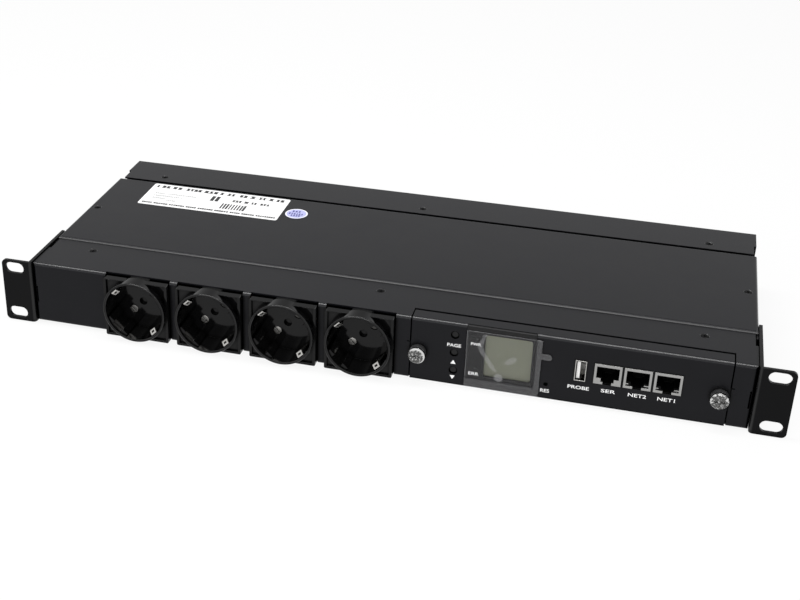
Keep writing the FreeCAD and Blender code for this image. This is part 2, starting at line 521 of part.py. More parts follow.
def mouth(name, cx, gap, y0, y1):
    """The stepped opening of a jack with its latch notch at the bottom."""
    return fuse(name, [box(name + "_main", f"{cx} - mouth_w / 2 - {gap}", f"{cx} + mouth_w / 2 + {gap}", y0,
                           y1, f"mouth_z0 - {gap}", f"mouth_z1 + {gap}"),
                       box(name + "_step", f"{cx} - step_w / 2 - {gap}", f"{cx} + step_w / 2 + {gap}", y0,
                           y1, f"step_z0 - {gap}", "mouth_z0 + 0.5"),
                       box(name + "_latch", f"{cx} - latch_w / 2 - {gap}", f"{cx} + latch_w / 2 + {gap}",
                           y0, y1, f"latch_z0 - {gap}", "step_z0 + 0.5")])


def window(name, cx, stepped):
    """The opening in a jack's shield, with a notch for the latch and, if stepped, filled lower corners."""
    floor = "serial_z" if stepped else "window_z0"
    parts = [box(name + "_main", f"{cx} - window_w / 2", f"{cx} + window_w / 2", "-1", "1", floor,
                 "window_z1"),
             box(name + "_notch", f"{cx} - notch_w / 2", f"{cx} + notch_w / 2", "-1", "1", "jack_z0 - 1",
                 f"{floor} + 0.5")]
    if stepped:
        parts.append(box(name + "_step", f"{cx} - serial_w / 2", f"{cx} + serial_w / 2", "-1", "1",
                         "window_z0", f"{floor} + 0.5"))
    return fuse(name, parts)


def catches(name, cx):
    """The two small tabs that reach into a shield's opening from its sides."""
    face = ("-port_proud", "-port_proud + jack_t", "catch_z", "catch_z + catch_t")
    return [box(name + "_catch_0", f"{cx} - window_w / 2 - 0.2", f"{cx} - window_w / 2 + catch_l", *face),
            box(name + "_catch_1", f"{cx} + window_w / 2 - catch_r", f"{cx} + window_w / 2 + 0.2", *face)]


def make_module():
    outer = box("module_outer", "mod_x0", "mod_x1", "0", "mod_flap", "mod_z0", "body_h")
    outer = rounded("module_bend", outer, X, "bend_out", lambda p: p.z > 0 and p.y < 1)
    inner = box("module_inner", "mod_x0 - 1", "mod_x1 + 1", "sheet_t", "mod_flap + 1", "mod_z0 - 1",
                "body_h - sheet_t")
    inner = rounded("module_inner_bend", inner, X, "bend_in", lambda p: p.z > 0 and p.y < 5)
    shell = cut("module_shell", outer, [inner])
    window = box("module_display", "disp_x0", "disp_x1", "-1", "disp_back", "disp_z0", "body_h + 1")
    tools = [rounded("module_display_round", window, Y, "disp_corner", lambda p: p.z < 0)]
    for k in range(3):
        tools.append(cyl(f"module_key_{k}", "y", "key_hole_r", "key_x", "-1", f"key_z0 + {k} * key_pitch",
                         "4"))
        cx = jack_x(k)
        tools.append(box(f"module_jack_{k}", f"{cx} - jack_w / 2 - port_gap",
                         f"{cx} + jack_w / 2 + port_gap", "-1", "3", "jack_z0 - port_gap",
                         "jack_z0 + jack_h + port_gap"))
    tools.append(cyl("module_rst", "y", "rst_hole_r", "rst_x", "-1", "rst_z", "4"))
    tools.append(box("module_sensor", "sensor_x0 - port_gap", "sensor_x0 + sensor_w + port_gap", "-1", "3",
                     "sensor_z0 - port_gap", "sensor_z0 + sensor_h + port_gap"))
    for n, x in enumerate(("cap_x0", "cap_x1")):
        tools.append(cyl(f"module_cap_{n}", "y", "cap_hole_r", x, "-1", "cap_z", "4"))
    done(cut("module_plate_part", shell, tools), "module_plate")
    tray = box("module_tray_floor", "tray_x0", "tray_x1", "sheet_t + 0.1", "tray_len", "tray_z",
               "tray_z + tray_t")
    lip = box("module_tray_lip", "tray_x0", "tray_x1", "sheet_t + 0.1", "sheet_t + 0.1 + tray_t", "tray_z",
              "disp_z0 - 2")
    done(fuse("module_tray_part", [tray, lip]), "module_tray")


def make_display():
    g = "bezel_gap"
    frame = box("bezel_block", f"disp_x0 + {g}", f"disp_x1 - {g}", "bezel_y0", "bezel_y1", f"disp_z0 + {g}",
                "body_h - 0.3")
    frame = rounded("bezel_block_round", frame, Y, "bezel_corner", lambda p: p.z < 0)
    window = box("bezel_window", "lcd_x0", "lcd_x1", "-1", "3", "lcd_z0", "lcd_z1")
    tools = [rounded("bezel_window_round", window, Y, "lcd_corner", always)]
    for n, z in enumerate(("led_z1", "led_z2")):
        tools.append(cyl(f"bezel_led_{n}", "y", "led_r + 0.2", "led_x", "-1", z, "4"))
    done(cut("bezel_part", frame, tools), "display_bezel")
    done(box("panel_part", "lcd_x0 - panel_rim", "lcd_x1 + panel_rim", "panel_y0", "panel_y1",
             "lcd_z0 - panel_rim", "lcd_z1 + panel_rim"), "display_panel")
    leds = [cyl(f"led_{n}", "y", "led_r", "led_x", "bezel_y0 + 0.2", z, "board_y - bezel_y0 - 0.3")
            for n, z in enumerate(("led_z1", "led_z2"))]
    done(group("led_group", leds), "status_leds")
    sheet_film = box("film_sheet", "film_x0", "film_x1", "-film_y - film_t", "-film_y", "film_z0",
                     "film_z1")
    tab = box("film_tab", "film_x1 - 1", "film_x1 + tab_len - (tab_z1 - tab_z0) / 2", "-film_y - film_t",
              "-film_y", "tab_z0", "tab_z1")
    tip = cyl("film_tip", "y", "(tab_z1 - tab_z0) / 2", "film_x1 + tab_len - (tab_z1 - tab_z0) / 2",
              "-film_y - film_t", "(tab_z0 + tab_z1) / 2", "film_t")
    done(fuse("film_part", [sheet_film, tab, tip]), "protective_film")


def make_keys():
    for k, name in enumerate(("button_down", "button_up", "button_menu")):
        z = f"key_z0 + {k} * key_pitch"
        stem = cyl(name + "_stem", "y", "key_r", "key_x", "key_y0", z, "key_y1 - key_y0")
        collar = cyl(name + "_collar", "y", "key_collar_r", "key_x", "key_collar_y", z, "key_collar_t")
        done(fuse(name + "_part", [stem, collar]), name)
    switches = []
    for k in range(3):
        z = f"(key_z0 + {k} * key_pitch)"
        body = box(f"switch_{k}_body", "key_x - sw_w / 2", "key_x + sw_w / 2", "sw_y0", "board_y - 0.05",
                   f"{z} - sw_w / 2", f"{z} + sw_w / 2")
        tip = cyl(f"switch_{k}_tip", "y", "sw_tip_r", "key_x", "sw_tip_y", z, "sw_y0 - sw_tip_y + 0.5")
        switches.append(fuse(f"switch_{k}", [body, tip]))
    done(group("switch_group", switches), "button_switches")
    block = box("reset_block", "rst_x - 2.5", "rst_x + 2.5", "sw_y0 - 1", "board_y - 0.05", "rst_z - 2.5",
                "rst_z + 2.5")
    bore = cyl("reset_bore", "y", "rst_r + 0.25", "rst_x", "sw_y0 - 2", "rst_z", "3")
    done(cut("reset_switch_part", block, [bore]), "reset_switch")
    done(cyl("reset_plunger_part", "y", "rst_r", "rst_x", "rst_y0", "rst_z", "sw_y0 - rst_y0 + 0.4"),
         "reset_plunger")


def make_boards():
    done(box("display_board_part", "db_x0", "db_x1", "board_y", "board_y + board_t", "db_z0", "db_z1"),
         "display_board")
    done(box("control_board_part", "cb_x0", "cb_x1", "cb_y0", "cb_y1", "cb_z", "cb_z + board_t"),
         "control_board")
    posts = []
    for n, (x, z) in enumerate((("db_x0 + 3.5", "db_z1 - 3"), ("db_x1 - 3", "db_z1 - 3"))):
        posts.append(hexagon(f"display_post_{n}", "y", "post_r - 0.5", x, "sheet_t + 0.05", z,
                             "board_y - sheet_t - 0.1"))
    for n, (x, y) in enumerate((("cb_x0 + 5", "30"), ("cb_x1 - 5", "30"), ("cb_x0 + 5", "cb_y1 - 5"),
                                ("cb_x1 - 5", "cb_y1 - 5"))):
        posts.append(hexagon(f"control_post_{n}", "z", "post_r", x, y, "tray_z + tray_t + 0.05",
                         "cb_z - tray_z - tray_t - 0.1"))
    done(group("module_post_group", posts), "module_posts")


def make_captive():
    screws, sleeves = [], []
    for n, x in enumerate(("cap_x0", "cap_x1")):
        bevel = cone(f"captive_{n}_bevel", "y", "cap_head_r - cap_bevel", "cap_head_r", x, "-cap_face",
                     "cap_z", "cap_bevel")
        head = cyl(f"captive_{n}_head", "y", "cap_head_r", x, "-cap_face + cap_bevel", "cap_z",
                   "cap_face - cap_bevel - cap_under")
        shank = cyl(f"captive_{n}_shank", "y", "cap_shank_r", x, "-cap_under - 0.5", "cap_z",
                    "cap_under + cap_end + 0.5")
        cross = [box(f"captive_{n}_slot_a", f"{x} - 2.9", f"{x} + 2.9", "-cap_face - 1", "-cap_face + 1.5",
                     "cap_z - 0.6", "cap_z + 0.6"), box(f"captive_{n}_slot_b", f"{x} - 0.6", f"{x} + 0.6",
                                                        "-cap_face - 1", "-cap_face + 1.5", "cap_z - 2.9",
                                                        "cap_z + 2.9")]
        screws.append(cut(f"captive_{n}", fuse(f"captive_{n}_body", [bevel, head, shank]), cross))
        sleeve = cyl(f"captive_{n}_sleeve", "y", "cap_sleeve_r", x, "-cap_under + 0.1", "cap_z",
                     "cap_under - 0.2")
        neck = cyl(f"captive_{n}_neck", "y", "cap_neck_r", x, "-0.5", "cap_z", "sheet_t + 0.4")
        bore = cyl(f"captive_{n}_bore", "y", "cap_bore_r", x, "-cap_under - 1", "cap_z", "cap_under + 5")
        sleeves.append(cut(f"captive_{n}_sleeve_part", fuse(f"captive_{n}_sleeve_body", [sleeve, neck]),
                           [bore]))
    done(group("captive_group", screws), "captive_screws")
    done(group("sleeve_group", sleeves), "captive_sleeves")


def make_ports():
    x0, x1 = "sensor_x0", "sensor_x0 + sensor_w"
    z0, z1 = "sensor_z0", "sensor_z0 + sensor_h"
    shell = box("sensor_outer", x0, x1, "-port_proud", "sensor_len", z0, z1)
    hole = box("sensor_inner", f"{x0} + sensor_t", f"{x1} - sensor_t", "-port_proud - 1",
               "sensor_len + 1", f"{z0} + sensor_t", f"{z1} - sensor_t")
    done(cut("sensor_shell", shell, [hole]), "sensor_port_shell")
    mid = "sensor_z0 + sensor_h / 2"
    blade = box("sensor_blade", f"{x0} + tongue_x", f"{x0} + tongue_x + tongue_t", "tongue_y",
                "sensor_len + foot_gap + foot_t", f"{mid} - tongue_h / 2", f"{mid} + tongue_h / 2")
    foot = box("sensor_foot", f"{x0} + sensor_t", f"{x1} - sensor_t", "sensor_len + foot_gap",
               "sensor_len + foot_gap + foot_t", "cb_z + board_t + 0.05", f"{mid} - tongue_h / 4")
    done(fuse("sensor_tongue", [blade, foot]), "sensor_port_tongue")
    wires = []
    for k, name in enumerate(("jack_com", "jack_lan2", "jack_lan1")):
        cx = jack_x(k)
        top = "jack_z0 + jack_h"
        outer = box(name + "_outer", f"{cx} - jack_w / 2", f"{cx} + jack_w / 2", "-port_proud", "jack_len",
                    "jack_z0", top)
        inner = box(name + "_inner", f"{cx} - jack_w / 2 + jack_t", f"{cx} + jack_w / 2 - jack_t",
                    "-port_proud + jack_t", "jack_len + 1", "jack_z0 + jack_t", f"{top} - jack_t")
        shell = cut(name + "_shell_cut", outer, [inner, window(name + "_window", cx, k == 0)])
        if k > 0:
            shell = fuse(name + "_shell_part", [shell] + catches(name, cx))
        done(shell, name + "_shell")
        g = "(jack_t + 0.1)"
        body = box(name + "_body", f"{cx} - jack_w / 2 + {g}", f"{cx} + jack_w / 2 - {g}",
                   "-port_proud + jack_t + 0.1", "jack_len - 0.2", f"jack_z0 + {g}", f"{top} - {g}")
        done(cut(name + "_insert_part", body,
                 [mouth(name + "_cavity", cx, "mouth_gap", "-1", "mouth_depth")]), name + "_insert")
        for w in range(8):
            wire = doc.addObject("Part::Wedge", f"{name}_wire_{w}")
            bind(wire, Xmin="0", Xmax="wire_w", X2min="0", X2max="wire_w", Ymin="wire_y0", Ymax="wire_y1")
            bind(wire, Zmin="wire_z0", Zmax="wire_z0 + wire_t", Z2min="wire_z1", Z2max="wire_z1 + wire_t")
            wires.append(place(wire, f"{cx} + ({w} - 3.5) * wire_pitch - wire_w / 2", "0", "0"))
    done(group("wire_group", wires), "jack_contacts")


def make_power_side():
    done(box("relay_board_part", "rb_x0", "rb_x1", "rb_y0", "rb_y1", "rb_z", "rb_z + board_t"),
         "relay_board")
    top = "rb_z + board_t + 0.05"
    relays = [box(f"relay_{i}", f"{socket_x(i)} - relay_w / 2", f"{socket_x(i)} + relay_w / 2", "relay_y",
                  "relay_y + relay_l", top, f"{top} + relay_h") for i in range(4)]
    done(group("relay_group", relays), "relays")
    done(box("supply_part", "psu_x0", "psu_x0 + psu_l", "psu_y0", "psu_y0 + psu_w", top, f"{top} + psu_h"),
         "supply_module")
    bars = [box(f"busbar_{k}", "bar_x0", "bar_x1", "bar_y", "bar_y + bar_t", f"bar_z + {k} * bar_pitch",
                f"bar_z + {k} * bar_pitch + bar_h") for k in range(3)]
    done(group("busbar_group", bars), "busbars")
    done(box("terminal_part", "term_x0", "term_x0 + term_l", "term_y0", "term_y0 + term_w",
             "sheet_t + 0.05", "sheet_t + 0.05 + term_h"), "terminal_block")
    posts = [hexagon(f"relay_post_{a}{b}", "z", "post_r", x, y, "sheet_t + 0.05", "rb_z - sheet_t - 0.1")
             for a, x in enumerate(("rb_x0 + 6", "rb_x1 - 6")) for b,
             y in enumerate(("rb_y0 + 6", "rb_y1 - 6"))]
    done(group("relay_post_group", posts), "board_posts")


def make_rear():
    face = "body_d + 0.1"
    flange = box("inlet_flange", "inlet_x - inlet_fw / 2", "inlet_x + inlet_fw / 2", face,
                 f"{face} + inlet_ft", "inlet_z - inlet_fh / 2", "inlet_z + inlet_fh / 2")
    flange = rounded("inlet_flange_round", flange, Y, "ear_corner", always)
    body = box("inlet_body", "inlet_x - inlet_w / 2", "inlet_x + inlet_w / 2", "body_d - inlet_in",
               f"{face} + 1", "inlet_z - inlet_h / 2", "inlet_z + inlet_h / 2")
    end = f"{face} + inlet_ft"
    cavity = box("inlet_cavity", "inlet_x - cav_w / 2", "inlet_x + cav_w / 2", f"{end} - cav_d",
                 f"{end} + 1",
                 "inlet_z - cav_h / 2", "inlet_z + cav_h / 2")
    tools = [rounded("inlet_cavity_round", cavity, Y, "cav_corner", always)]
    blades, screws = [], []
    blade_places = (("-blade_dx", "-blade_dz"), ("blade_dx", "-blade_dz"), ("0", "blade_dz"))
    for n, (dx, dz) in enumerate(blade_places):
        x, z = f"inlet_x + {dx}", f"inlet_z + {dz}"
        low = f"{end} - cav_d - 4"
        blades.append(box(f"inlet_blade_{n}", f"{x} - blade_w / 2", f"{x} + blade_w / 2", low,
                          f"{low} + 4 + blade_len", f"{z} - blade_t / 2", f"{z} + blade_t / 2"))
        tools.append(box(f"inlet_blade_slot_{n}", f"{x} - blade_w / 2 - 0.2", f"{x} + blade_w / 2 + 0.2",
                         f"{low} - 0.2", f"{end} - cav_d + 1", f"{z} - blade_t / 2 - 0.2",
                         f"{z} + blade_t / 2 + 0.2"))
    for n, k in enumerate((-1, 1)):
        x = f"inlet_x + ({k}) * inlet_screw"
        for gap, parts in (("0.2", tools), ("0", screws)):
            head = cone(f"inlet_head_{n}_{len(parts)}", "y", f"shank_r + {gap}", f"csk_r + {gap}", x,
                        f"{end} - csk_depth - 0.3", "inlet_z", "csk_depth + 0.3")
            shank = cyl(f"inlet_shank_{n}_{len(parts)}", "y", f"shank_r + {gap}", x, "body_d - 4",
                        "inlet_z", "4 + inlet_ft")
            if gap == "0":
                slot_a = box(f"inlet_slot_a_{n}", f"{x} - 1.5", f"{x} + 1.5", f"{end} - 0.7", f"{end} + 1",
                             "inlet_z - 0.35", "inlet_z + 0.35")
                slot_b = box(f"inlet_slot_b_{n}", f"{x} - 0.35", f"{x} + 0.35", f"{end} - 0.7",
                             f"{end} + 1", "inlet_z - 1.5", "inlet_z + 1.5")
                parts.append(cut(f"inlet_screw_{n}", fuse(f"inlet_screw_body_{n}", [head, shank]),
                                 [slot_a, slot_b]))
            else:
                parts += [head, shank]
    done(cut("inlet_part", fuse("inlet_raw", [flange, body]), tools), "mains_inlet")
    done(group("blade_group", blades), "inlet_pins")
    done(group("inlet_screw_group", screws), "inlet_screws")
    stud = cyl("stud_bar", "y", "stud_r", "stud_x", "body_d - 6", "stud_z", "6 + stud_out")
    washer = cyl("stud_washer", "y", "washer_r", "stud_x", "body_d + 0.05", "stud_z", "1")
    nut = hexagon("stud_nut", "y", "nut_r", "stud_x", "body_d + 1", "stud_z", "nut_t")
    inside = cyl("stud_inside", "y", "washer_r", "stud_x", "body_d - sheet_t - 3.05", "stud_z", "3")
    done(fuse("stud_part", [stud, washer, nut, inside]), "earth_stud")


def make_labels():
    low = "body_h + cover_rise + label_gap"
    label = box("label_sheet", "label_x0", "label_x1", "label_y0", "label_y1", low, f"{low} + label_t")
    done(rounded("label_part", label, Z, "label_corner", always), "type_label")
    done(cyl("sticker_part", "z", "sticker_r", "sticker_x", "sticker_y", low, "label_t"), "round_sticker")


make_chassis()
make_cover()
make_cover_screws()
make_ears()
make_ear_screws()
for place_number in range(4):
    make_socket(place_number)
    make_socket_metal(place_number)
make_module()
make_display()
make_keys()
make_boards()
make_captive()
make_ports()
make_power_side()
make_rear()
make_labels()
doc.recompute()

for obj in doc.Objects:
    if "Invalid" in obj.State or "Error" in obj.State:
        raise RuntimeError(f"{obj.Name} did not build: {obj.State}")
os.makedirs("parts", exist_ok=True)
for piece in pieces:
    shape = piece.Shape
    if shape.isNull() or not shape.isValid() or not shape.Solids:
        raise RuntimeError(f"{piece.Label} has no valid solid")
    shape.exportStep(f"parts/{piece.Label}.step")
    print(f"{piece.Label}: {len(shape.Solids)} solids, {shape.Volume:.0f} mm3")
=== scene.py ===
"""Dressed model of a rack power distribution unit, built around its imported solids."""

import logging
import math
from dataclasses import dataclass, field
from enum import Enum
from itertools import accumulate
from typing import ClassVar, Iterable, Sequence

import bmesh
import bpy
from mathutils import Matrix, Vector


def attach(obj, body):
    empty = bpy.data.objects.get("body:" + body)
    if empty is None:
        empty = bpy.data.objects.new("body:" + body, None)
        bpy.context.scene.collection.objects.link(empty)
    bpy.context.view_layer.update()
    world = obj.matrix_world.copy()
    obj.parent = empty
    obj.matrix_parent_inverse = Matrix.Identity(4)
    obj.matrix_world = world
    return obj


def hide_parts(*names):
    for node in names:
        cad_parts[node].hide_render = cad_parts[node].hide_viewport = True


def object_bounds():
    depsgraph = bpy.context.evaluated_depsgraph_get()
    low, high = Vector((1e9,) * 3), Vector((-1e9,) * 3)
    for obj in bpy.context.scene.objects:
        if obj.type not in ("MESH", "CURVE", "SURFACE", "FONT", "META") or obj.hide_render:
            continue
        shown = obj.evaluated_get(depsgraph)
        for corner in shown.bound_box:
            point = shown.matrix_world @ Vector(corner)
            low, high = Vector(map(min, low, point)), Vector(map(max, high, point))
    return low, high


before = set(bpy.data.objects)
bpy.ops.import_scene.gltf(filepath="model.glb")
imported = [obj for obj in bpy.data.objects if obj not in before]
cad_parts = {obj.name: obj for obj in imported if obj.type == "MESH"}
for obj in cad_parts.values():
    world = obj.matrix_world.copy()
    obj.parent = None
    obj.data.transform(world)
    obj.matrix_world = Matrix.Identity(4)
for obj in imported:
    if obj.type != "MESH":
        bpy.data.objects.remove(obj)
CAD_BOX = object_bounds()

LOG = logging.getLogger("rack_unit")
MM = 0.001
EAR_MID = 21.4
UNIT = "unit"
BLACK = (0.0, 0.0, 0.0)
# Limits past the ends of a normal's height, so that no bend is left out.
ANY_LEAN, ANY_DROP = 1.2, -1.2
# Numbers of the colour mix node's sockets.
MIX_SHARE, MIX_FIRST, MIX_SECOND, MIX_RESULT = 0, 6, 7, 2
# Numbers of the random node's limits and result, for plain numbers.
RANDOM_LEAST, RANDOM_MOST, RANDOM_RESULT = 2, 3, 1

Node, Socket, Tree = bpy.types.Node, bpy.types.NodeSocket, bpy.types.NodeTree
Mesh, Material = bpy.types.Mesh, bpy.types.Material
Colour = tuple[float, float, float]
Place = tuple[float, float, float]
Span = tuple[float, float]
Ellipse = tuple[float, float, float, float, float, float]


def at(x: float, y: float, z: float) -> Vector:
    """Turn millimetres into the frame's metres.

    Args:
        x: Distance to the right of the middle.
        y: Distance behind the front wall's face.
        z: Height above the underside of the chassis.

    Returns:
        The same place in the frame.
    """
    return Vector((x, y, z - EAR_MID)) * MM


def held(value: float) -> float:
    """Hold a value between 0 and 1."""
    return min(max(value, 0.0), 1.0)


class Graph:
    """Short calls for adding and joining the nodes of one tree."""

    def __init__(self, tree: Tree) -> None:
        """Keep the tree."""
        self.tree = tree

    def open_sockets(self, direction: str, kinds: dict[str, str]) -> None:
        """Give a group its own sockets.

        Args:
            direction: INPUT or OUTPUT.
            kinds: Socket kinds by name.
        """
        for label, kind in kinds.items():
            self.tree.interface.new_socket(name=label, in_out=direction, socket_type="NodeSocket" + kind)

    def add(self, kind: str, inputs: dict[str | int, object] | None = None, **settings: object) -> Node:
        """Add a node.

        Args:
            kind: The node's type name.
            inputs: Values or output sockets, by the input's name or number.
            **settings: Properties to set on the node before its inputs.

        Returns:
            The new node.
        """
        node = self.tree.nodes.new(kind)
        for key, value in settings.items():
            setattr(node, key, value)
        for key, value in (inputs or {}).items():
            self.feed(node.inputs[key], value)
        return node

    def feed(self, socket: Socket, value: object) -> None:
        """Join an output to an input, or set the input's own value.

        Args:
            socket: The input.
            value: An output socket, or a plain value.
        """
        if isinstance(value, Socket):
            self.tree.links.new(value, socket)
        else:
            socket.default_value = value

    def math(self, operation: str, *values: object, clamp: bool = False) -> Socket:
        """Add one sum.

        Args:
            operation: The name of the sum.
            *values: Its terms, each an output socket or a number.
            clamp: Whether the result stays between 0 and 1.

        Returns:
            The result's socket.
        """
        node = self.add("ShaderNodeMath", dict(enumerate(values)), operation=operation, use_clamp=clamp)
        return node.outputs[0]

    def ramp(self, value: object, start: object, slope: float) -> Socket:
        """Rise from 0 where a value passes its start, up to 1."""
        return self.math("MULTIPLY", self.math("SUBTRACT", value, start), slope, clamp=True)

    def mean(self, first: Socket, second: Socket, share: float) -> Socket:
        """Add two patterns, the second with its share of the whole."""
        rest = self.math("MULTIPLY", first, 1.0 - share)
        return self.math("ADD", rest, self.math("MULTIPLY", second, share))

    def blend(self, share: object, first: object, second: object) -> Socket:
        """Mix two colours.

        Args:
            share: How much of the second colour shows.
            first: A colour or an output socket.
            second: A colour or an output socket.

        Returns:
            The mixed colour's socket.
        """
        ends = [value if isinstance(value, Socket) else (*value, 1.0) for value in (first, second)]
        inputs = {MIX_SHARE: share, MIX_FIRST: ends[0], MIX_SECOND: ends[1]}
        return self.add("ShaderNodeMix", inputs, data_type="RGBA").outputs[MIX_RESULT]

    def tinted(self, colour: object, tone: Socket) -> Socket:
        """Scale a colour by a tone that changes over the surface."""
        return self.add("ShaderNodeVectorMath", {0: colour, "Scale": tone}, operation="SCALE").outputs[0]

    def axes(self, vector: Socket) -> bpy.types.NodeOutputs:
        """Split a vector in its X, Y and Z."""
        return self.add("ShaderNodeSeparateXYZ", {0: vector}).outputs

    def noise(self, point: Socket, scale: object, detail: float) -> Socket:
        """Add a pattern from 0 to 1 with so many cells to the metre and so many finer layers."""
        return self.add("ShaderNodeTexNoise", {"Vector": point, "Scale": scale, "Detail": detail}).outputs[0]

    def spread(self, value: Socket, width: object) -> Socket:
        """Turn a pattern about one half into a factor about one that swings by a width."""
        centred = self.math("SUBTRACT", value, 0.5)
        return self.math("ADD", self.math("MULTIPLY", centred, width), 1.0)


class Effect(Enum):
    """Surface effects that several finishes share."""

    GRAIN = "coat_grain"
    DUST = "settled_dust"
    STREAKS = "drawn_streaks"
    EDGE = "soft_edge"
    BENDS = "bend_masks"
    CREVICE = "crevice_shade"


class Effects:
    """The shared shader groups, each built once."""

    BROAD_CELLS = 0.02
    BROAD_SHARE = 0.65
    DUST_CELLS = 38.0
    DUST_POWER = 3.0
    CLOUD_CELLS = 260.0
    CLOUD_SHARE = 0.5
    FLAT_SUM = 0.95
    TURN_SLOPE = 3.4
    LIMIT_SLOPE = 8.0
    LEVEL = 0.9
    LEVEL_SLOPE = 10.0
    SAMPLES = 6

    def __init__(self) -> None:
        """Start with no group built."""
        self.built: dict[Effect, Tree] = {}
        self.makers = {Effect.GRAIN: self.grain, Effect.DUST: self.dust, Effect.STREAKS: self.streaks,
                       Effect.EDGE: self.edge, Effect.BENDS: self.bends, Effect.CREVICE: self.crevice}

    def get(self, effect: Effect) -> Tree:
        """Find a group, and build it the first time.

        Args:
            effect: Which group.

        Returns:
            The group's tree.
        """
        if effect not in self.built:
            self.built[effect] = self.makers[effect]()
        return self.built[effect]

    @staticmethod
    def begin(effect: Effect, inputs: dict[str, str], outputs: dict[str, str]) -> tuple[Graph, object, object]:
        """Start a group with its sockets.

        Args:
            effect: Which group.
            inputs: Socket kinds by name.
            outputs: Socket kinds by name.

        Returns:
            The graph, the sockets given to the group and the sockets it hands out.
        """
        graph = Graph(bpy.data.node_groups.new(effect.value, "ShaderNodeTree"))
        graph.open_sockets("INPUT", inputs)
        graph.open_sockets("OUTPUT", outputs)
        return graph, graph.add("NodeGroupInput").outputs, graph.add("NodeGroupOutput").inputs

    def grain(self) -> Tree:
        """Build the fine pebble of a coat and its slow change of tone.

        Returns:
            The group's tree.
        """
        graph, given, handed = self.begin(
            Effect.GRAIN, {"Point": "Vector", "Grain": "Float", "Spread": "Float"},
            {"Height": "Float", "Tone": "Float"})
        fine = graph.noise(given["Point"], given["Grain"], detail=3.0)
        cells = graph.math("MULTIPLY", given["Grain"], self.BROAD_CELLS)
        broad = graph.noise(given["Point"], cells, detail=4.0)
        graph.feed(handed["Height"], fine)
        graph.feed(handed["Tone"], graph.spread(graph.mean(fine, broad, self.BROAD_SHARE), given["Spread"]))
        return graph.tree

    def dust(self) -> Tree:
        """Build the thin film of dust that settles on what faces up.

        Returns:
            The group's tree.
        """
        graph, given, handed = self.begin(Effect.DUST, {"Point": "Vector", "Amount": "Float"}, {"Mask": "Float"})
        up = graph.axes(graph.add("ShaderNodeNewGeometry").outputs["Normal"])["Z"]
        facing = graph.math("POWER", graph.math("MAXIMUM", up, 0.0), self.DUST_POWER)
        patchy = graph.noise(given["Point"], self.DUST_CELLS, detail=5.0)
        amount = graph.math("MULTIPLY", graph.math("MULTIPLY", facing, patchy), given["Amount"])
        graph.feed(handed["Mask"], graph.math("MINIMUM", amount, 1.0))
        return graph.tree

    def streaks(self) -> Tree:
        """Build the fine lines that rolling and drawing leave in metal.

        Returns:
            The group's tree.
        """
        graph, given, handed = self.begin(
            Effect.STREAKS, {"Point": "Vector", "Stretch": "Vector", "Spread": "Float"},
            {"Height": "Float", "Tone": "Float"})
        drawn = graph.add("ShaderNodeVectorMath", {0: given["Point"], 1: given["Stretch"]}, operation="MULTIPLY")
        lines = graph.noise(drawn.outputs[0], 1.0, detail=4.0)
        cloud = graph.noise(given["Point"], self.CLOUD_CELLS, detail=3.0)
        graph.feed(handed["Height"], lines)
        graph.feed(handed["Tone"], graph.spread(graph.mean(lines, cloud, self.CLOUD_SHARE), given["Spread"]))
        return graph.tree

    def edge(self) -> Tree:
        """Build the softened look of a rounded edge.

        Returns:
            The group's tree.
        """
        graph, given, handed = self.begin(Effect.EDGE, {"Radius": "Float"}, {"Normal": "Vector"})
        bevel = graph.add("ShaderNodeBevel", {"Radius": given["Radius"]}, samples=self.SAMPLES)
        graph.feed(handed["Normal"], bevel.outputs[0])
        return graph.tree

    def bends(self) -> Tree:
        """Build the masks of rounded bends and of what lies flat and faces up.

        Returns:
            The group's tree.
        """
        graph, given, handed = self.begin(Effect.BENDS, {"Normal": "Vector", "Lean": "Float", "Drop": "Float"},
                                          {"Bend": "Float", "Up": "Float"})
        axis = graph.axes(given["Normal"])
        fourth = [graph.math("POWER", graph.math("ABSOLUTE", axis[name]), 4.0) for name in "XYZ"]
        flatness = graph.math("ADD", graph.math("ADD", fourth[0], fourth[1]), fourth[2])
        turned = graph.ramp(self.FLAT_SUM, flatness, self.TURN_SLOPE)
        steep = graph.ramp(given["Lean"], axis["Z"], self.LIMIT_SLOPE)
        high = graph.ramp(axis["Z"], given["Drop"], self.LIMIT_SLOPE)
        graph.feed(handed["Bend"], graph.math("MULTIPLY", graph.math("MULTIPLY", turned, steep), high))
        graph.feed(handed["Up"], graph.ramp(axis["Z"], self.LEVEL, self.LEVEL_SLOPE))
        return graph.tree

    def crevice(self) -> Tree:
        """Build the painted shade of gaps and inner corners, taken from ambient occlusion.

        Returns:
            The group's tree.
        """
        graph, given, handed = self.begin(Effect.CREVICE, {"Reach": "Float", "Depth": "Float"}, {"Open": "Float"})
        hidden = graph.add("ShaderNodeAmbientOcclusion", {"Distance": given["Reach"]}, samples=self.SAMPLES)
        graph.feed(handed["Open"], graph.math("POWER", hidden.outputs["AO"], given["Depth"]))
        return graph.tree


EFFECTS = Effects()


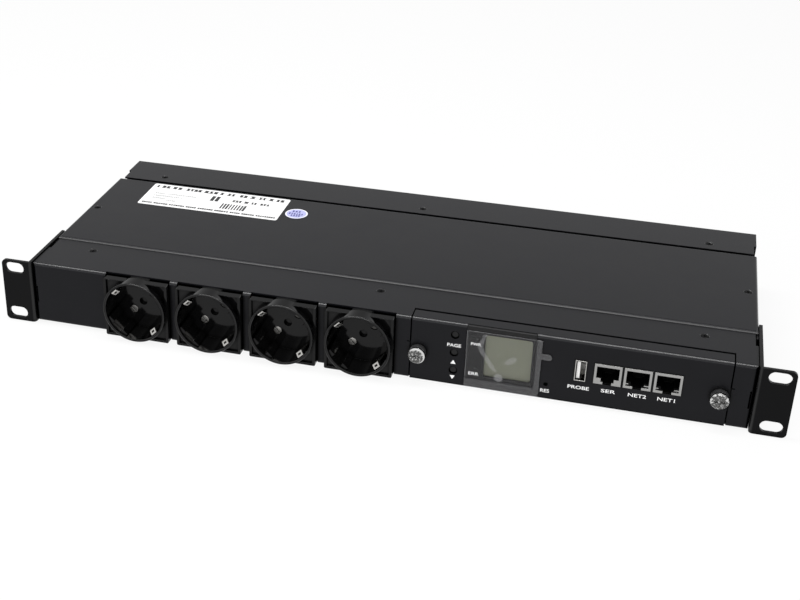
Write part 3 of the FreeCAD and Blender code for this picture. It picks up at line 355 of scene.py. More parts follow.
class Surface(Graph):
    """A material's own tree, with its shader and its coordinates at hand."""

    def __init__(self, name: str) -> None:
        """Start a material with one shader.

        Args:
            name: The material's name.
        """
        self.material = bpy.data.materials.new(name)
        self.material.use_nodes = True
        super().__init__(self.material.node_tree)
        self.tree.nodes.clear()
        self.shader = self.add("ShaderNodeBsdfPrincipled")
        self.result = self.add("ShaderNodeOutputMaterial", {"Surface": self.shader.outputs[0]})
        self.point = self.add("ShaderNodeTexCoord").outputs["Object"]

    def effect(self, effect: Effect, **values: object) -> bpy.types.NodeOutputs:
        """Place a shared effect with its own values.

        Args:
            effect: Which one.
            **values: Values or sockets by input name.

        Returns:
            What the effect hands out.
        """
        node = self.add("ShaderNodeGroup", node_tree=EFFECTS.get(effect))
        if "Point" in node.inputs:
            self.feed(node.inputs["Point"], self.point)
        for label, value in values.items():
            self.feed(node.inputs[label], value)
        return node.outputs

    def dress(self, **values: object) -> None:
        """Set the shader's inputs.

        Args:
            **values: Values or sockets, by input name with underscores for spaces.
        """
        for label, value in values.items():
            self.feed(self.shader.inputs[label.replace("_", " ")], value)

    def relief(self, height: Socket, depth: float, base: Socket | None = None) -> None:
        """Give the shader a fine relief.

        Args:
            height: The pattern's socket.
            depth: Its depth in metres.
            base: The normal that it lies on, if not the mesh's own.
        """
        bump = self.add("ShaderNodeBump", {"Strength": 1.0, "Distance": depth, "Height": height})
        if base is not None:
            self.feed(bump.inputs["Normal"], base)
        self.feed(self.shader.inputs["Normal"], bump.outputs[0])


@dataclass(frozen=True)
class Finish:
    """What every finish has."""

    name: str
    colour: Colour
    roughness: float
    specular: float = 0.5

    def make(self) -> Material:
        """Build the material.

        Returns:
            The finished material.
        """
        surface = Surface(self.name)
        self.paint(surface)
        return surface.material

    def paint(self, surface: Surface) -> None:
        """Build the look in a new material's tree."""
        raise NotImplementedError

    def rough(self, surface: Surface, tone: Socket) -> Socket:
        """Change the roughness by a tone."""
        return surface.math("MULTIPLY", tone, self.roughness, clamp=True)


@dataclass(frozen=True)
class Coating(Finish):
    """A sprayed or moulded skin with a fine pebble."""

    grain: float = 2600.0
    depth: float = 6e-6
    spread: float = 0.5
    dust: float = 0.0
    edge: float = 0.0004
    # A pale tone for the dust, and for the highlight painted on bends.
    dust_and_highlight_tone: Colour = (0.16, 0.16, 0.16)
    dulled: float = 0.0
    sheen: float = 0.0
    lean: float = ANY_LEAN
    drop: float = ANY_DROP
    coat_ior: float = 1.5
    # Share of the pale tone painted on bends as a highlight.
    bend_highlight: float = 0.0
    # Reach and power of the painted shade in gaps and corners.
    reach: float = 0.0025
    shade: float = 1.0

    @property
    def per_level(self) -> float:
        """Coat weight that mirrors as much, head on, as one step of specular level."""
        return 0.08 * ((self.coat_ior + 1.0) / (self.coat_ior - 1.0)) ** 2

    def paint(self, surface: Surface) -> None:
        """Build the skin with its dust, its painted highlights on bends and its painted shade in gaps.

        Args:
            surface: The material's tree.
        """
        grain = surface.effect(Effect.GRAIN, Grain=self.grain, Spread=self.spread)
        colour = surface.tinted(self.colour, grain["Tone"])
        if self.dust > 0:
            colour = surface.blend(surface.effect(Effect.DUST, Amount=self.dust)["Mask"], colour, self.dust_and_highlight_tone)
        normal = surface.effect(Effect.EDGE, Radius=self.edge)["Normal"]
        space = surface.effect(Effect.CREVICE, Reach=self.reach, Depth=self.shade)["Open"]
        # Painted highlight: bends lightened towards the pale tone.
        if self.bend_highlight > 0:
            highlit_bends = surface.effect(Effect.BENDS, Normal=normal, Lean=self.lean, Drop=self.drop)["Bend"]
            colour = surface.blend(surface.math("MULTIPLY", highlit_bends, self.bend_highlight), colour, self.dust_and_highlight_tone)
        if self.sheen > 0:
            self.add_gloss(surface, space)
        # Painted shade: the base colour darkens to black in gaps and corners.
        surface.dress(Base_Color=surface.blend(space, BLACK, colour), Roughness=self.rough(surface, grain["Tone"]),
                      Specular_IOR_Level=self.specular * (1.0 - self.dulled))
        surface.relief(grain["Height"], self.depth, normal)

    def add_gloss(self, surface: Surface, space: Socket) -> None:
        """Add the clear gloss that bends and upright faces have over what lies flat.

        Args:
            surface: The material's tree.
            space: How open each place is, from 0 to 1.
        """
        normal = surface.add("ShaderNodeNewGeometry").outputs["Normal"]
        masks = surface.effect(Effect.BENDS, Normal=normal, Lean=self.lean, Drop=self.drop)
        upright = surface.math("SUBTRACT", 1.0, masks["Up"])
        gloss = surface.math("MULTIPLY", upright, self.dulled * self.specular * self.per_level)
        bent = surface.math("MULTIPLY", masks["Bend"], self.sheen * self.per_level)
        weight = surface.math("MULTIPLY", surface.math("ADD", gloss, bent), space, clamp=True)
        surface.dress(Coat_Weight=weight, Coat_Roughness=self.roughness, Coat_IOR=self.coat_ior)


@dataclass(frozen=True)
class Metal(Finish):
    """Bare or plated metal with drawn lines."""

    CLOUD_CELLS: ClassVar[float] = 900.0
    GLINT_CELLS: ClassVar[float] = 880.0
    GLINT_LEVEL: ClassVar[float] = 0.54
    GLINT_SLOPE: ClassVar[float] = 6.0

    stretch: Colour = (3000.0, 300.0, 3000.0)
    spread: float = 0.5
    depth: float = 1.2e-6
    edge: float = 0.00015
    speckle: float = 0.25
    # The next four fields paint highlights into the colour: bright spots and a bright rim, brighter on the left.
    bright: Colour = BLACK
    rim: float = 0.0
    glint: float = 0.0
    left_rim_highlight: Span = (-1.0, 0.0)
    # The next two fields paint shade on the right-hand half of each place in a row.
    rows: Span = (0.0, 1.0)
    right_half_shade: float = 0.0

    def paint(self, surface: Surface) -> None:
        """Build the metal with its lines, its painted glints and rim highlights, and its painted shade.

        Args:
            surface: The material's tree.
        """
        lines = surface.effect(Effect.STREAKS, Stretch=self.stretch, Spread=self.spread)
        tone = surface.effect(Effect.GRAIN, Grain=self.CLOUD_CELLS, Spread=self.speckle)["Tone"]
        normal = surface.effect(Effect.EDGE, Radius=self.edge)["Normal"]
        colour = surface.tinted(self.colour, tone)
        # Painted highlights: glints and a bright rim.
        if self.glint > 0:
            colour = surface.blend(self.glints(surface, normal), colour, self.bright)
        # Painted shade on the right-hand halves.
        if self.right_half_shade > 0:
            colour = surface.tinted(colour, self.shaded_right_halves(surface))
        surface.dress(Base_Color=colour, Roughness=self.rough(surface, lines["Tone"]), Metallic=1.0)
        surface.relief(lines["Height"], self.depth, normal)

    def glints(self, surface: Surface, normal: Socket) -> Socket:
        """Find the painted highlights: bright spots, and a bright rim that is brighter on the left.

        Args:
            surface: The material's tree.
            normal: The softened normal.

        Returns:
            The share of the painted highlight colour.
        """
        spots = surface.noise(surface.point, self.GLINT_CELLS, detail=1.0)
        bend = surface.effect(Effect.BENDS, Normal=normal, Lean=ANY_LEAN, Drop=ANY_DROP)["Bend"]
        ring = surface.math("MULTIPLY", bend, self.rim)
        edge_x, lift = self.left_rim_highlight
        left = surface.math("LESS_THAN", surface.axes(surface.point)["X"], edge_x)
        more = surface.math("MULTIPLY", ring, surface.math("MULTIPLY", left, lift))
        level = surface.math("ADD", surface.math("SUBTRACT", spots, self.GLINT_LEVEL),
                             surface.math("ADD", ring, more))
        share = surface.math("MULTIPLY", level, self.GLINT_SLOPE, clamp=True)
        return surface.math("MULTIPLY", share, self.glint)

    def shaded_right_halves(self, surface: Surface) -> Socket:
        """Find the painted shade that darkens the right-hand half of each place in a row.

        Args:
            surface: The material's tree.

        Returns:
            The factor's socket.
        """
        first, pitch = self.rows
        past = surface.math("SUBTRACT", surface.axes(surface.point)["X"], first)
        right = surface.math("LESS_THAN", surface.math("FRACT", surface.math("DIVIDE", past, pitch)), 0.5)
        return surface.math("SUBTRACT", 1.0, surface.math("MULTIPLY", right, self.right_half_shade))


@dataclass(frozen=True)
class Sheet(Finish):
    """Paper or ink: a soft fibre with a faint cloud of tone."""

    fibre: float = 4200.0
    depth: float = 3e-6
    spread: float = 0.12

    def paint(self, surface: Surface) -> None:
        """Build the fibre.

        Args:
            surface: The material's tree.
        """
        grain = surface.effect(Effect.GRAIN, Grain=self.fibre, Spread=self.spread)
        surface.dress(Base_Color=surface.tinted(self.colour, grain["Tone"]),
                      Roughness=self.rough(surface, grain["Tone"]), Specular_IOR_Level=self.specular)
        surface.relief(grain["Height"], self.depth)


@dataclass(frozen=True)
class Laminate(Finish):
    """A circuit board: lacquer over tracks and a woven core."""

    track: Colour = (0.012, 0.04, 0.018)
    pitch: float = 420.0
    lines: float = 3.0
    between: float = 0.62
    grain: float = 3000.0
    spread: float = 0.3
    depth: float = 2e-5

    def paint(self, surface: Surface) -> None:
        """Build the lacquer and the tracks under it.

        Args:
            surface: The material's tree.
        """
        cells = surface.add("ShaderNodeTexVoronoi", {"Vector": surface.point, "Scale": self.pitch},
                            feature="F1", distance="MANHATTAN")
        across = surface.math("FRACT", surface.math("MULTIPLY", cells.outputs["Distance"], self.lines))
        tracks = surface.math("GREATER_THAN", across, self.between)
        tone = surface.effect(Effect.GRAIN, Grain=self.grain, Spread=self.spread)["Tone"]
        surface.dress(Base_Color=surface.blend(tracks, surface.tinted(self.colour, tone), self.track),
                      Roughness=self.rough(surface, tone), Specular_IOR_Level=self.specular)
        surface.relief(tracks, self.depth)


@dataclass(frozen=True)
class CrystalPanel(Finish):
    """An unlit liquid crystal panel with its faint dot grid."""

    pitch: float = 0.00042
    line: float = 0.16
    contrast: float = 0.06
    cloud: float = 60.0
    spread: float = 0.16

    def paint(self, surface: Surface) -> None:
        """Build the dots and a faint cloud of tone.

        Args:
            surface: The material's tree.
        """
        axis = surface.axes(surface.point)
        cells = [surface.math("FRACT", surface.math("DIVIDE", axis[name], self.pitch)) for name in "XZ"]
        dots = [surface.math("GREATER_THAN", cell, self.line) for cell in cells]
        lift = surface.math("MULTIPLY", surface.math("MULTIPLY", dots[0], dots[1]), self.contrast)
        cloud = surface.spread(surface.noise(surface.point, self.cloud, detail=2.0), self.spread)
        tone = surface.math("MULTIPLY", cloud, surface.math("ADD", lift, 1.0 - self.contrast))
        surface.dress(Base_Color=surface.tinted(self.colour, tone), Roughness=self.rough(surface, cloud),
                      Specular_IOR_Level=self.specular)


@dataclass(frozen=True)
class ClearFilm(Finish):
    """Clear film that turns milky where it lies on what is behind it."""

    attribute: str = "haze"
    grain: float = 700.0
    spread: float = 0.4
    depth: float = 3e-6

    def paint(self, surface: Surface) -> None:
        """Build the film, as clear as the mesh's own attribute says.

        Args:
            surface: The material's tree.
        """
        haze = surface.add("ShaderNodeAttribute", attribute_name=self.attribute).outputs["Fac"]
        grain = surface.effect(Effect.GRAIN, Grain=self.grain, Spread=self.spread)
        surface.dress(Base_Color=surface.tinted(self.colour, grain["Tone"]),
                      Alpha=surface.math("MULTIPLY", haze, grain["Tone"], clamp=True),
                      Roughness=self.rough(surface, grain["Tone"]), Specular_IOR_Level=self.specular)
        surface.relief(grain["Height"], self.depth)


class Look(Enum):
    """The unit's finishes."""

    # Coatings paint shade into their gaps and corners; those with a bend share also paint a highlight on their
    # bends.
    POWDER = Coating("matt_powder_coat", (0.0062, 0.0063, 0.0078), 0.3, 0.13, dust=0.01,
                     dulled=0.25, sheen=0.36, drop=0.62, bend_highlight=0.06, shade=4.0, edge=0.0003)
    COVER = Coating("cover_powder_coat", (0.0062, 0.0063, 0.0078), 0.34, 0.13, dust=0.01,
                    dulled=0.25, sheen=0.9, lean=0.8, coat_ior=1.75, bend_highlight=0.05, shade=2.0)
    EAR = Coating("dark_powder_coat", (0.0025, 0.0025, 0.0029), 0.34, 0.09, dust=0.01,
                  sheen=0.22, bend_highlight=0.03, shade=2.0)
    MOULDING = Coating("gloss_moulding", (0.002, 0.002, 0.0022), 0.09, 0.22, grain=1800.0, depth=8e-7,
                       spread=0.4, edge=0.0003, dulled=0.7, sheen=0.12, shade=1.5)
    PLAIN = Coating("matt_moulding", (0.008, 0.008, 0.0085), 0.38, 0.22, grain=3200.0, depth=1.5e-6)
    SCREW = Coating("blackened_steel", (0.002, 0.002, 0.0022), 0.4, 0.045, grain=2400.0, edge=0.0002)
    NICKEL = Metal("nickel_plate", (0.5, 0.49, 0.47), 0.2)
    # Nickel darkened as painted shade for the dark surroundings that its face mirrors, with painted glints and a
    # painted rim highlight that is brighter on the left screw.
    SHADED_NICKEL = Metal("dull_nickel", (0.1, 0.1, 0.098), 0.24, speckle=1.2, edge=0.0001,
                        bright=(0.75, 0.75, 0.74), rim=0.13, glint=0.9, left_rim_highlight=(0.1, 1.6))
    # The right-hand contact of each outlet is darkened: painted shade.
    CONTACT = Metal("contact_plate", (0.5, 0.49, 0.47), 0.2, rows=(-0.1492, 0.0478), right_half_shade=0.9)
    SHIELD = Metal("tinned_shield", (0.36, 0.358, 0.35), 0.3, stretch=(600.0, 3000.0, 5000.0), spread=0.8,
                   speckle=0.6)
    GOLD = Metal("gold_contacts", (0.85, 0.62, 0.26), 0.25)
    SLEEVE = Metal("dark_sleeve", (0.3, 0.3, 0.305), 0.36)
    COPPER = Metal("copper_bar", (0.72, 0.4, 0.24), 0.34, stretch=(200.0, 3000.0, 3000.0))
    BOARD = Laminate("lacquered_board", (0.004, 0.018, 0.008), 0.35)
    WHITE = Coating("white_moulding", (0.85, 0.845, 0.83), 0.4, 0.4, grain=2800.0, spread=0.1)
    PORT = Coating("port_moulding", (0.002, 0.002, 0.0021), 0.5, 0.08, grain=2800.0, shade=2.0, reach=0.006)
    RELAY = Coating("relay_case", (0.03, 0.045, 0.08), 0.36, 0.4, grain=2000.0)
    LENS = Coating("clouded_lens", (0.1, 0.1, 0.095), 0.25, 0.5, grain=1500.0, spread=0.2, edge=0.0001)
    PANEL = CrystalPanel("crystal_panel", (0.132, 0.138, 0.1), 0.22, 0.4)
    FILM = ClearFilm("clear_film", (0.62, 0.62, 0.64), 0.2)
    PAPER = Sheet("label_paper", (0.86, 0.86, 0.86), 0.5, 0.3)
    STICKER = Sheet("sticker_paper", (0.44, 0.45, 0.74), 0.5, 0.3)
    STICKER_INK = Sheet("sticker_ink", (0.06, 0.06, 0.2), 0.5, 0.3)
    STICKER_EDGE = Sheet("sticker_edge", (0.84, 0.84, 0.88), 0.5, 0.3)
    INK = Sheet("black_ink", (0.012, 0.012, 0.013), 0.5, 0.3, spread=0.4)
    GREY_INK = Sheet("grey_ink", (0.3, 0.3, 0.3), 0.5, 0.3, spread=0.3)
    LEGEND = Sheet("white_legend", (0.95, 0.95, 0.95), 0.5, 0.3)


class Paintbox:
    """The materials, each built once from its look."""

    def __init__(self) -> None:
        """Start with no material built."""
        self.made: dict[Look, Material] = {}

    def get(self, look: Look) -> Material:
        """Find a look's material, and build it the first time.

        Args:
            look: Which finish.

        Returns:
            Its material.
        """
        if look not in self.made:
            self.made[look] = look.value.make()
        return self.made[look]


PAINTS = Paintbox()


def dress_nodes(look: Look, *names: str) -> None:
    """Give solids of the frame a finish.

    Args:
        look: The finish.
        *names: The solids' names.
    """
    for name in names:
        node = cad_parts[name]
        if not node.material_slots:
            node.data.materials.append(None)
        for slot in node.material_slots:
            slot.material = PAINTS.get(look)
        LOG.info("%s: %s", name, look.value.name)


def placed(name: str, mesh: Mesh, look: Look, stands_for: Sequence[str] = ()) -> None:
    """Put a finished mesh in the scene and tie it to the unit.

    Args:
        name: The piece's name.
        mesh: Its mesh, already in place.
        look: Its finish.
        stands_for: Solids that it replaces.
    """
    mesh.name = name
    mesh.materials.clear()
    mesh.materials.append(PAINTS.get(look))
    piece = bpy.data.objects.new(name, mesh)
    bpy.context.scene.collection.objects.link(piece)
    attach(piece, UNIT)
    if stands_for:
        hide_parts(*stands_for)
    LOG.info("%s: %d faces, %s", name, len(mesh.polygons), look.value.name)


def built_mesh(name: str, verts: Sequence[Sequence[float]], faces: Sequence[Sequence[int]]) -> Mesh:
    """Make a mesh from its points and faces.

    Args:
        name: The mesh's name.
        verts: Its points in metres.
        faces: Its faces, as numbers of points.

    Returns:
        The new mesh.
    """
    mesh = bpy.data.meshes.new(name)
    mesh.from_pydata(verts, [], faces)
    return mesh


def joined(meshes: Iterable[Mesh]) -> Mesh:
    """Gather several meshes in one.

    Args:
        meshes: The meshes, already in place; they are used up.

    Returns:
        One mesh.
    """
    gathered = bmesh.new()
    for mesh in meshes:
        gathered.from_mesh(mesh)
        bpy.data.meshes.remove(mesh)
    for face in gathered.faces:
        face.material_index = 0
    result = bpy.data.meshes.new("gathered")
    gathered.to_mesh(result)
    gathered.free()
    return result


def solid_outline(points: Sequence[Span], depth: float) -> Mesh:
    """Raise a flat outline to a plate that stands on its own plane.

    Args:
        points: The outline in turn, in millimetres, counter-clockwise.
        depth: The plate's thickness in millimetres.

    Returns:
        A closed mesh with the outline in X and Y and its front at the top.
    """
    count = len(points)
    verts = [(x * MM, y * MM, z * MM) for z in (0.0, depth) for x, y in points]
    faces = [tuple(reversed(range(count))), tuple(range(count, 2 * count))]
    faces += [(i, (i + 1) % count, count + (i + 1) % count, count + i) for i in range(count)]
    return built_mesh("outline", verts, faces)


FLAT = Matrix.Identity(4)
FACE_FRONT = Matrix.Rotation(math.radians(90), 4, "X")
FACE_BACK = Matrix.Rotation(math.radians(-90), 4, "X")


def moved(mesh: Mesh, x: float, y: float, z: float, turn: Matrix = FLAT) -> Mesh:
    """Turn a mesh that lies in X and Y, and move its origin to a place in millimetres."""
    mesh.transform(Matrix.Translation(at(x, y, z)) @ turn)
    return mesh


def evaluated_mesh(holder: bpy.types.Object) -> Mesh:
    """Turn an object into a plain mesh and remove it.

    Args:
        holder: A text object or an object with a modifier.

    Returns:
        The plain mesh.
    """
    bpy.context.scene.collection.objects.link(holder)
    depsgraph = bpy.context.evaluated_depsgraph_get()
    mesh = bpy.data.meshes.new_from_object(holder.evaluated_get(depsgraph), depsgraph=depsgraph)
    holder.modifiers.clear()
    bpy.data.objects.remove(holder)
    return mesh


def lettering(word: str, width: float, height: float, depth: float) -> Mesh:
    """Cut a word as a thin raised print, centred on its own origin.

    Args:
        word: What it says.
        width: The word's width in millimetres.
        height: The capitals' height.
        depth: The print's thickness.

    Returns:
        A closed mesh in X and Y.
    """
    curve = bpy.data.curves.new("word", "FONT")
    curve.body = word
    curve.offset = 0.013
    curve.extrude = 0.5
    curve.resolution_u = 3
    mesh = evaluated_mesh(bpy.data.objects.new("word", curve))
    low = [min(v.co[axis] for v in mesh.vertices) for axis in range(3)]
    high = [max(v.co[axis] for v in mesh.vertices) for axis in range(3)]
    for vertex in mesh.vertices:
        for axis, (size, origin) in enumerate(((width, 0.5), (height, 0.5), (depth, 0.0))):
            share = (vertex.co[axis] - low[axis]) / (high[axis] - low[axis])
            vertex.co[axis] = (share - origin) * size * MM
    shape = bmesh.new()
    shape.from_mesh(mesh)
    bmesh.ops.remove_doubles(shape, verts=shape.verts, dist=1e-7)
    bmesh.ops.recalc_face_normals(shape, faces=shape.faces)
    shape.to_mesh(mesh)
    shape.free()
    return mesh


class Growth(Graph):
    """A geometry tree with named inputs and one result."""

    def __init__(self, name: str, inputs: dict[str, str]) -> None:
        """Start a tree.

        Args:
            name: The tree's name.
            inputs: Socket kinds by name; the finish is added to them.
        """
        super().__init__(bpy.data.node_groups.new(name, "GeometryNodeTree"))
        self.open_sockets("INPUT", {**inputs, "Finish": "Material"})
        self.open_sockets("OUTPUT", {"Geometry": "Geometry"})
        self.given = self.add("NodeGroupInput").outputs

    def close(self, geometry: Socket) -> None:
        """End the tree in real geometry with its finish.

        Args:
            geometry: What the tree has made.
        """
        real = self.add("GeometryNodeRealizeInstances", {"Geometry": geometry})
        finish = self.add("GeometryNodeSetMaterial", {"Geometry": real.outputs[0],
                                                      "Material": self.given["Finish"]})
        self.add("NodeGroupOutput", {0: finish.outputs[0]})

    def grow(self, look: Look, **values: object) -> Mesh:
        """Run the tree once.

        Args:
            look: The finish that it sets.
            **values: Values by input name.

        Returns:
            The plain mesh.
        """
        holder = bpy.data.objects.new("growth", bpy.data.meshes.new("seed"))
        modifier = holder.modifiers.new("growth", "NODES")
        modifier.node_group = self.tree
        wanted = {**values, "Finish": PAINTS.get(look)}
        for item in self.tree.interface.items_tree:
            if item.in_out == "INPUT" and item.name in wanted:
                modifier[item.identifier] = wanted[item.name]
        return evaluated_mesh(holder)


class PrintRow(Growth):
    """A row of printed bars of uneven width."""

    def __init__(self) -> None:
        """Build the tree."""
        super().__init__("print_row", {"Count": "Int", "Step": "Float", "Height": "Float", "Depth": "Float",
                                       "Thin": "Float", "Thick": "Float", "Seed": "Int"})
        step = self.add("ShaderNodeCombineXYZ", {"X": self.given["Step"]})
        line = self.add("GeometryNodeMeshLine", {"Count": self.given["Count"], "Offset": step.outputs[0]},
                        mode="OFFSET")
        width = self.add("FunctionNodeRandomValue", {
            RANDOM_LEAST: self.given["Thin"], RANDOM_MOST: self.given["Thick"], "Seed": self.given["Seed"]},
            data_type="FLOAT")
        size = self.add("ShaderNodeCombineXYZ", {
            "X": width.outputs[RANDOM_RESULT], "Y": self.given["Height"], "Z": self.given["Depth"]})
        bar = self.add("GeometryNodeMeshCube", {"Size": (1.0, 1.0, 1.0)})
        copies = self.add("GeometryNodeInstanceOnPoints", {
            "Points": line.outputs[0], "Instance": bar.outputs[0], "Scale": size.outputs[0]})
        self.close(copies.outputs[0])


class KnurlRing(Growth):
    """Straight ridges round a turned sleeve."""

    CORNERS = 4

    def __init__(self) -> None:
        """Build the tree."""
        super().__init__("knurl_ring", {"Count": "Int", "Radius": "Float", "Ridge": "Float", "Length": "Float"})
        ring = self.add("GeometryNodeMeshCircle", {
            "Vertices": self.given["Count"], "Radius": self.given["Radius"]}, fill_type="NONE")
        ridge = self.add("GeometryNodeMeshCylinder", {
            "Vertices": self.CORNERS, "Radius": self.given["Ridge"], "Depth": self.given["Length"]},
            fill_type="NGON")
        outward = self.add("GeometryNodeInputPosition").outputs[0]
        turn = self.add("FunctionNodeAlignRotationToVector", {"Vector": outward}, axis="X", pivot_axis="Z")
        copies = self.add("GeometryNodeInstanceOnPoints", {
            "Points": ring.outputs[0], "Instance": ridge.outputs[0], "Rotation": turn.outputs[0]})
        self.close(copies.outputs[0])


class ThreadTurns(Growth):
    """The ridge of a screw thread along its path."""

    CORNERS = 4
    STEPS = 40

    def __init__(self) -> None:
        """Build the tree."""
        super().__init__("thread_turns", {"Turns": "Float", "Radius": "Float", "Length": "Float",
                                          "Ridge": "Float"})
        path = self.add("GeometryNodeCurveSpiral", {
            "Resolution": self.STEPS, "Rotations": self.given["Turns"], "Start Radius": self.given["Radius"],
            "End Radius": self.given["Radius"], "Height": self.given["Length"]})
        section = self.add("GeometryNodeCurvePrimitiveCircle", {
            "Resolution": self.CORNERS, "Radius": self.given["Ridge"]}, mode="RADIUS")
        ridge = self.add("GeometryNodeCurveToMesh", {
            "Curve": path.outputs[0], "Profile Curve": section.outputs[0], "Fill Caps": True})
        self.close(ridge.outputs[0])


@dataclass
class Housing:
    """The folded chassis, its cover and the rack ears."""

    ears: tuple[str, ...] = ("rack_ear_left", "rack_ear_right")
    screws: tuple[str, ...] = ("cover_screws", "ear_screws")

    def build(self) -> None:
        """Dress the sheet metal and its screws."""
        dress_nodes(Look.POWDER, "chassis")
        dress_nodes(Look.COVER, "top_cover")
        dress_nodes(Look.EAR, *self.ears)
        dress_nodes(Look.SCREW, *self.screws)


@dataclass
class Outlets:
    """The four socket outlets with their contacts."""

    count: int = 4

    def build(self) -> None:
        """Dress the mouldings and their metal."""
        for number in range(1, self.count + 1):
            dress_nodes(Look.MOULDING, f"socket_{number}")
            dress_nodes(Look.NICKEL, f"earth_clips_{number}")
            dress_nodes(Look.CONTACT, f"pin_contacts_{number}")


@dataclass
class CaptiveScrews:
    """The module's two captive screws with their knurled sleeves."""

    centres: Span = (29.9, 202.8)
    height: float = 19.3
    sleeve_radius: float = 4.87
    sleeve_front: float = -3.7
    sleeve_back: float = -0.3
    ridge: float = 0.26
    ridges: int = 44

    def build(self, ring: KnurlRing) -> None:
        """Dress the screws and cut the ridges of their sleeves.

        Args:
            ring: The tree that makes the ridges.
        """
        dress_nodes(Look.SHADED_NICKEL, "captive_screws")
        dress_nodes(Look.SLEEVE, "captive_sleeves")
        middle = (self.sleeve_front + self.sleeve_back) / 2
        length = (self.sleeve_back - self.sleeve_front) * MM
        rings = []
        for x in self.centres:
            mesh = ring.grow(Look.SLEEVE, Count=self.ridges, Radius=self.sleeve_radius * MM,
                             Ridge=self.ridge * MM, Length=length)
            rings.append(moved(mesh, x, middle, self.height, FACE_FRONT))
        placed("sleeve_knurls", joined(rings), Look.SLEEVE)


@dataclass
class Legend:
    """One printed word on the module: its middle, its size and the face that it lies on."""

    word: str
    x: float
    z: float
    width: float
    height: float = 2.3
    face: float = 0.0


@dataclass
class ModuleFront:
    """The management module's plate with its keys, its display and its print."""

    left: float = 25.1
    right: float = 208.0
    flap_back: float = 10.9
    flap_seam: float = 0.8
    side_seam: float = 0.35
    near: float = 0.1
    depth: float = 0.04
    sunk: float = 0.005
    arrow: float = 3.1
    arrow_rise: float = 0.42
    arrow_x: float = 51.2
    arrow_heights: Span = (15.7, 5.1)
    plain: tuple[str, ...] = ("display_bezel", "button_down", "button_up", "button_menu", "button_switches",
                              "reset_switch", "reset_plunger")
    words: list[Legend] = field(default_factory=lambda: [
        Legend("PAGE", 51.2, 27.0, 8.2, 2.15), Legend("RES", 106.0, 5.6, 5.2),
        Legend("PROBE", 124.9, 11.1, 12.2), Legend("SER", 141.9, 11.5, 8.2),
        Legend("NET2", 158.2, 11.5, 10.2), Legend("NET1", 174.4, 11.7, 9.8)])
    bezel_words: list[Legend] = field(default_factory=lambda: [
        Legend("PWR", 64.0, 29.7, 6.0, 2.0, 0.1), Legend("ERR", 63.7, 9.7, 6.0, 2.0, 0.1)])

    def build(self) -> None:
        """Dress the module's solids and print its legends."""
        dress_nodes(Look.POWDER, "module_tray")
        self.build_face()
        dress_nodes(Look.PLAIN, *self.plain)
        dress_nodes(Look.WHITE, "sensor_port_tongue")
        dress_nodes(Look.BOARD, "display_board", "control_board")
        dress_nodes(Look.NICKEL, "module_posts")
        dress_nodes(Look.PANEL, "display_panel")
        dress_nodes(Look.LENS, "status_leds")
        placed("module_legends", joined(self.prints(self.words) + self.arrows()), Look.LEGEND)
        placed("display_legends", joined(self.prints(self.bezel_words)), Look.LEGEND)

    def build_face(self) -> None:
        """Copy the folded plate with its seams drawn in as wide as they look."""
        shape = bmesh.new()
        shape.from_mesh(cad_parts["module_plate"].data)
        bmesh.ops.remove_doubles(shape, verts=shape.verts, dist=1e-6)
        for vertex in shape.verts:
            x, y, _ = vertex.co / MM
            if y > self.flap_back - self.near:
                vertex.co.y -= self.flap_seam * MM
            if x > self.right - self.near:
                vertex.co.x -= self.side_seam * MM
            if x < self.left + self.near:
                vertex.co.x += self.side_seam * MM
        mesh = bpy.data.meshes.new("face")
        shape.to_mesh(mesh)
        shape.free()
        placed("module_face", mesh, Look.POWDER, ("module_plate",))

    def prints(self, words: Iterable[Legend]) -> list[Mesh]:
        """Cut words as thin prints, one mesh for each."""
        return [moved(lettering(w.word, w.width, w.height, self.depth), w.x, w.face + self.sunk, w.z, FACE_FRONT)
                for w in words]

    def arrows(self) -> list[Mesh]:
        """Cut the two key signs, one up and one down.

        Returns:
            One mesh for each.
        """
        half, tall = self.arrow / 2, self.arrow * self.arrow_rise
        up = ((-half, -tall), (half, -tall), (0.0, tall))
        down = ((-half, tall), (0.0, -tall), (half, tall))
        return [moved(solid_outline(points, self.depth), self.arrow_x, self.sunk, z, FACE_FRONT)
                for points, z in zip((up, down), self.arrow_heights)]


@dataclass
class Ports:
    """The sensor port and the three jacks."""

    jacks: tuple[str, ...] = ("jack_com", "jack_lan2", "jack_lan1")

    def build(self) -> None:
        """Dress the shields, their inner blocks and their contacts."""
        for name in self.jacks:
            dress_nodes(Look.SHIELD, name + "_shell")
            dress_nodes(Look.PORT, name + "_insert")
        dress_nodes(Look.NICKEL, "sensor_port_shell")
        dress_nodes(Look.GOLD, "jack_contacts")


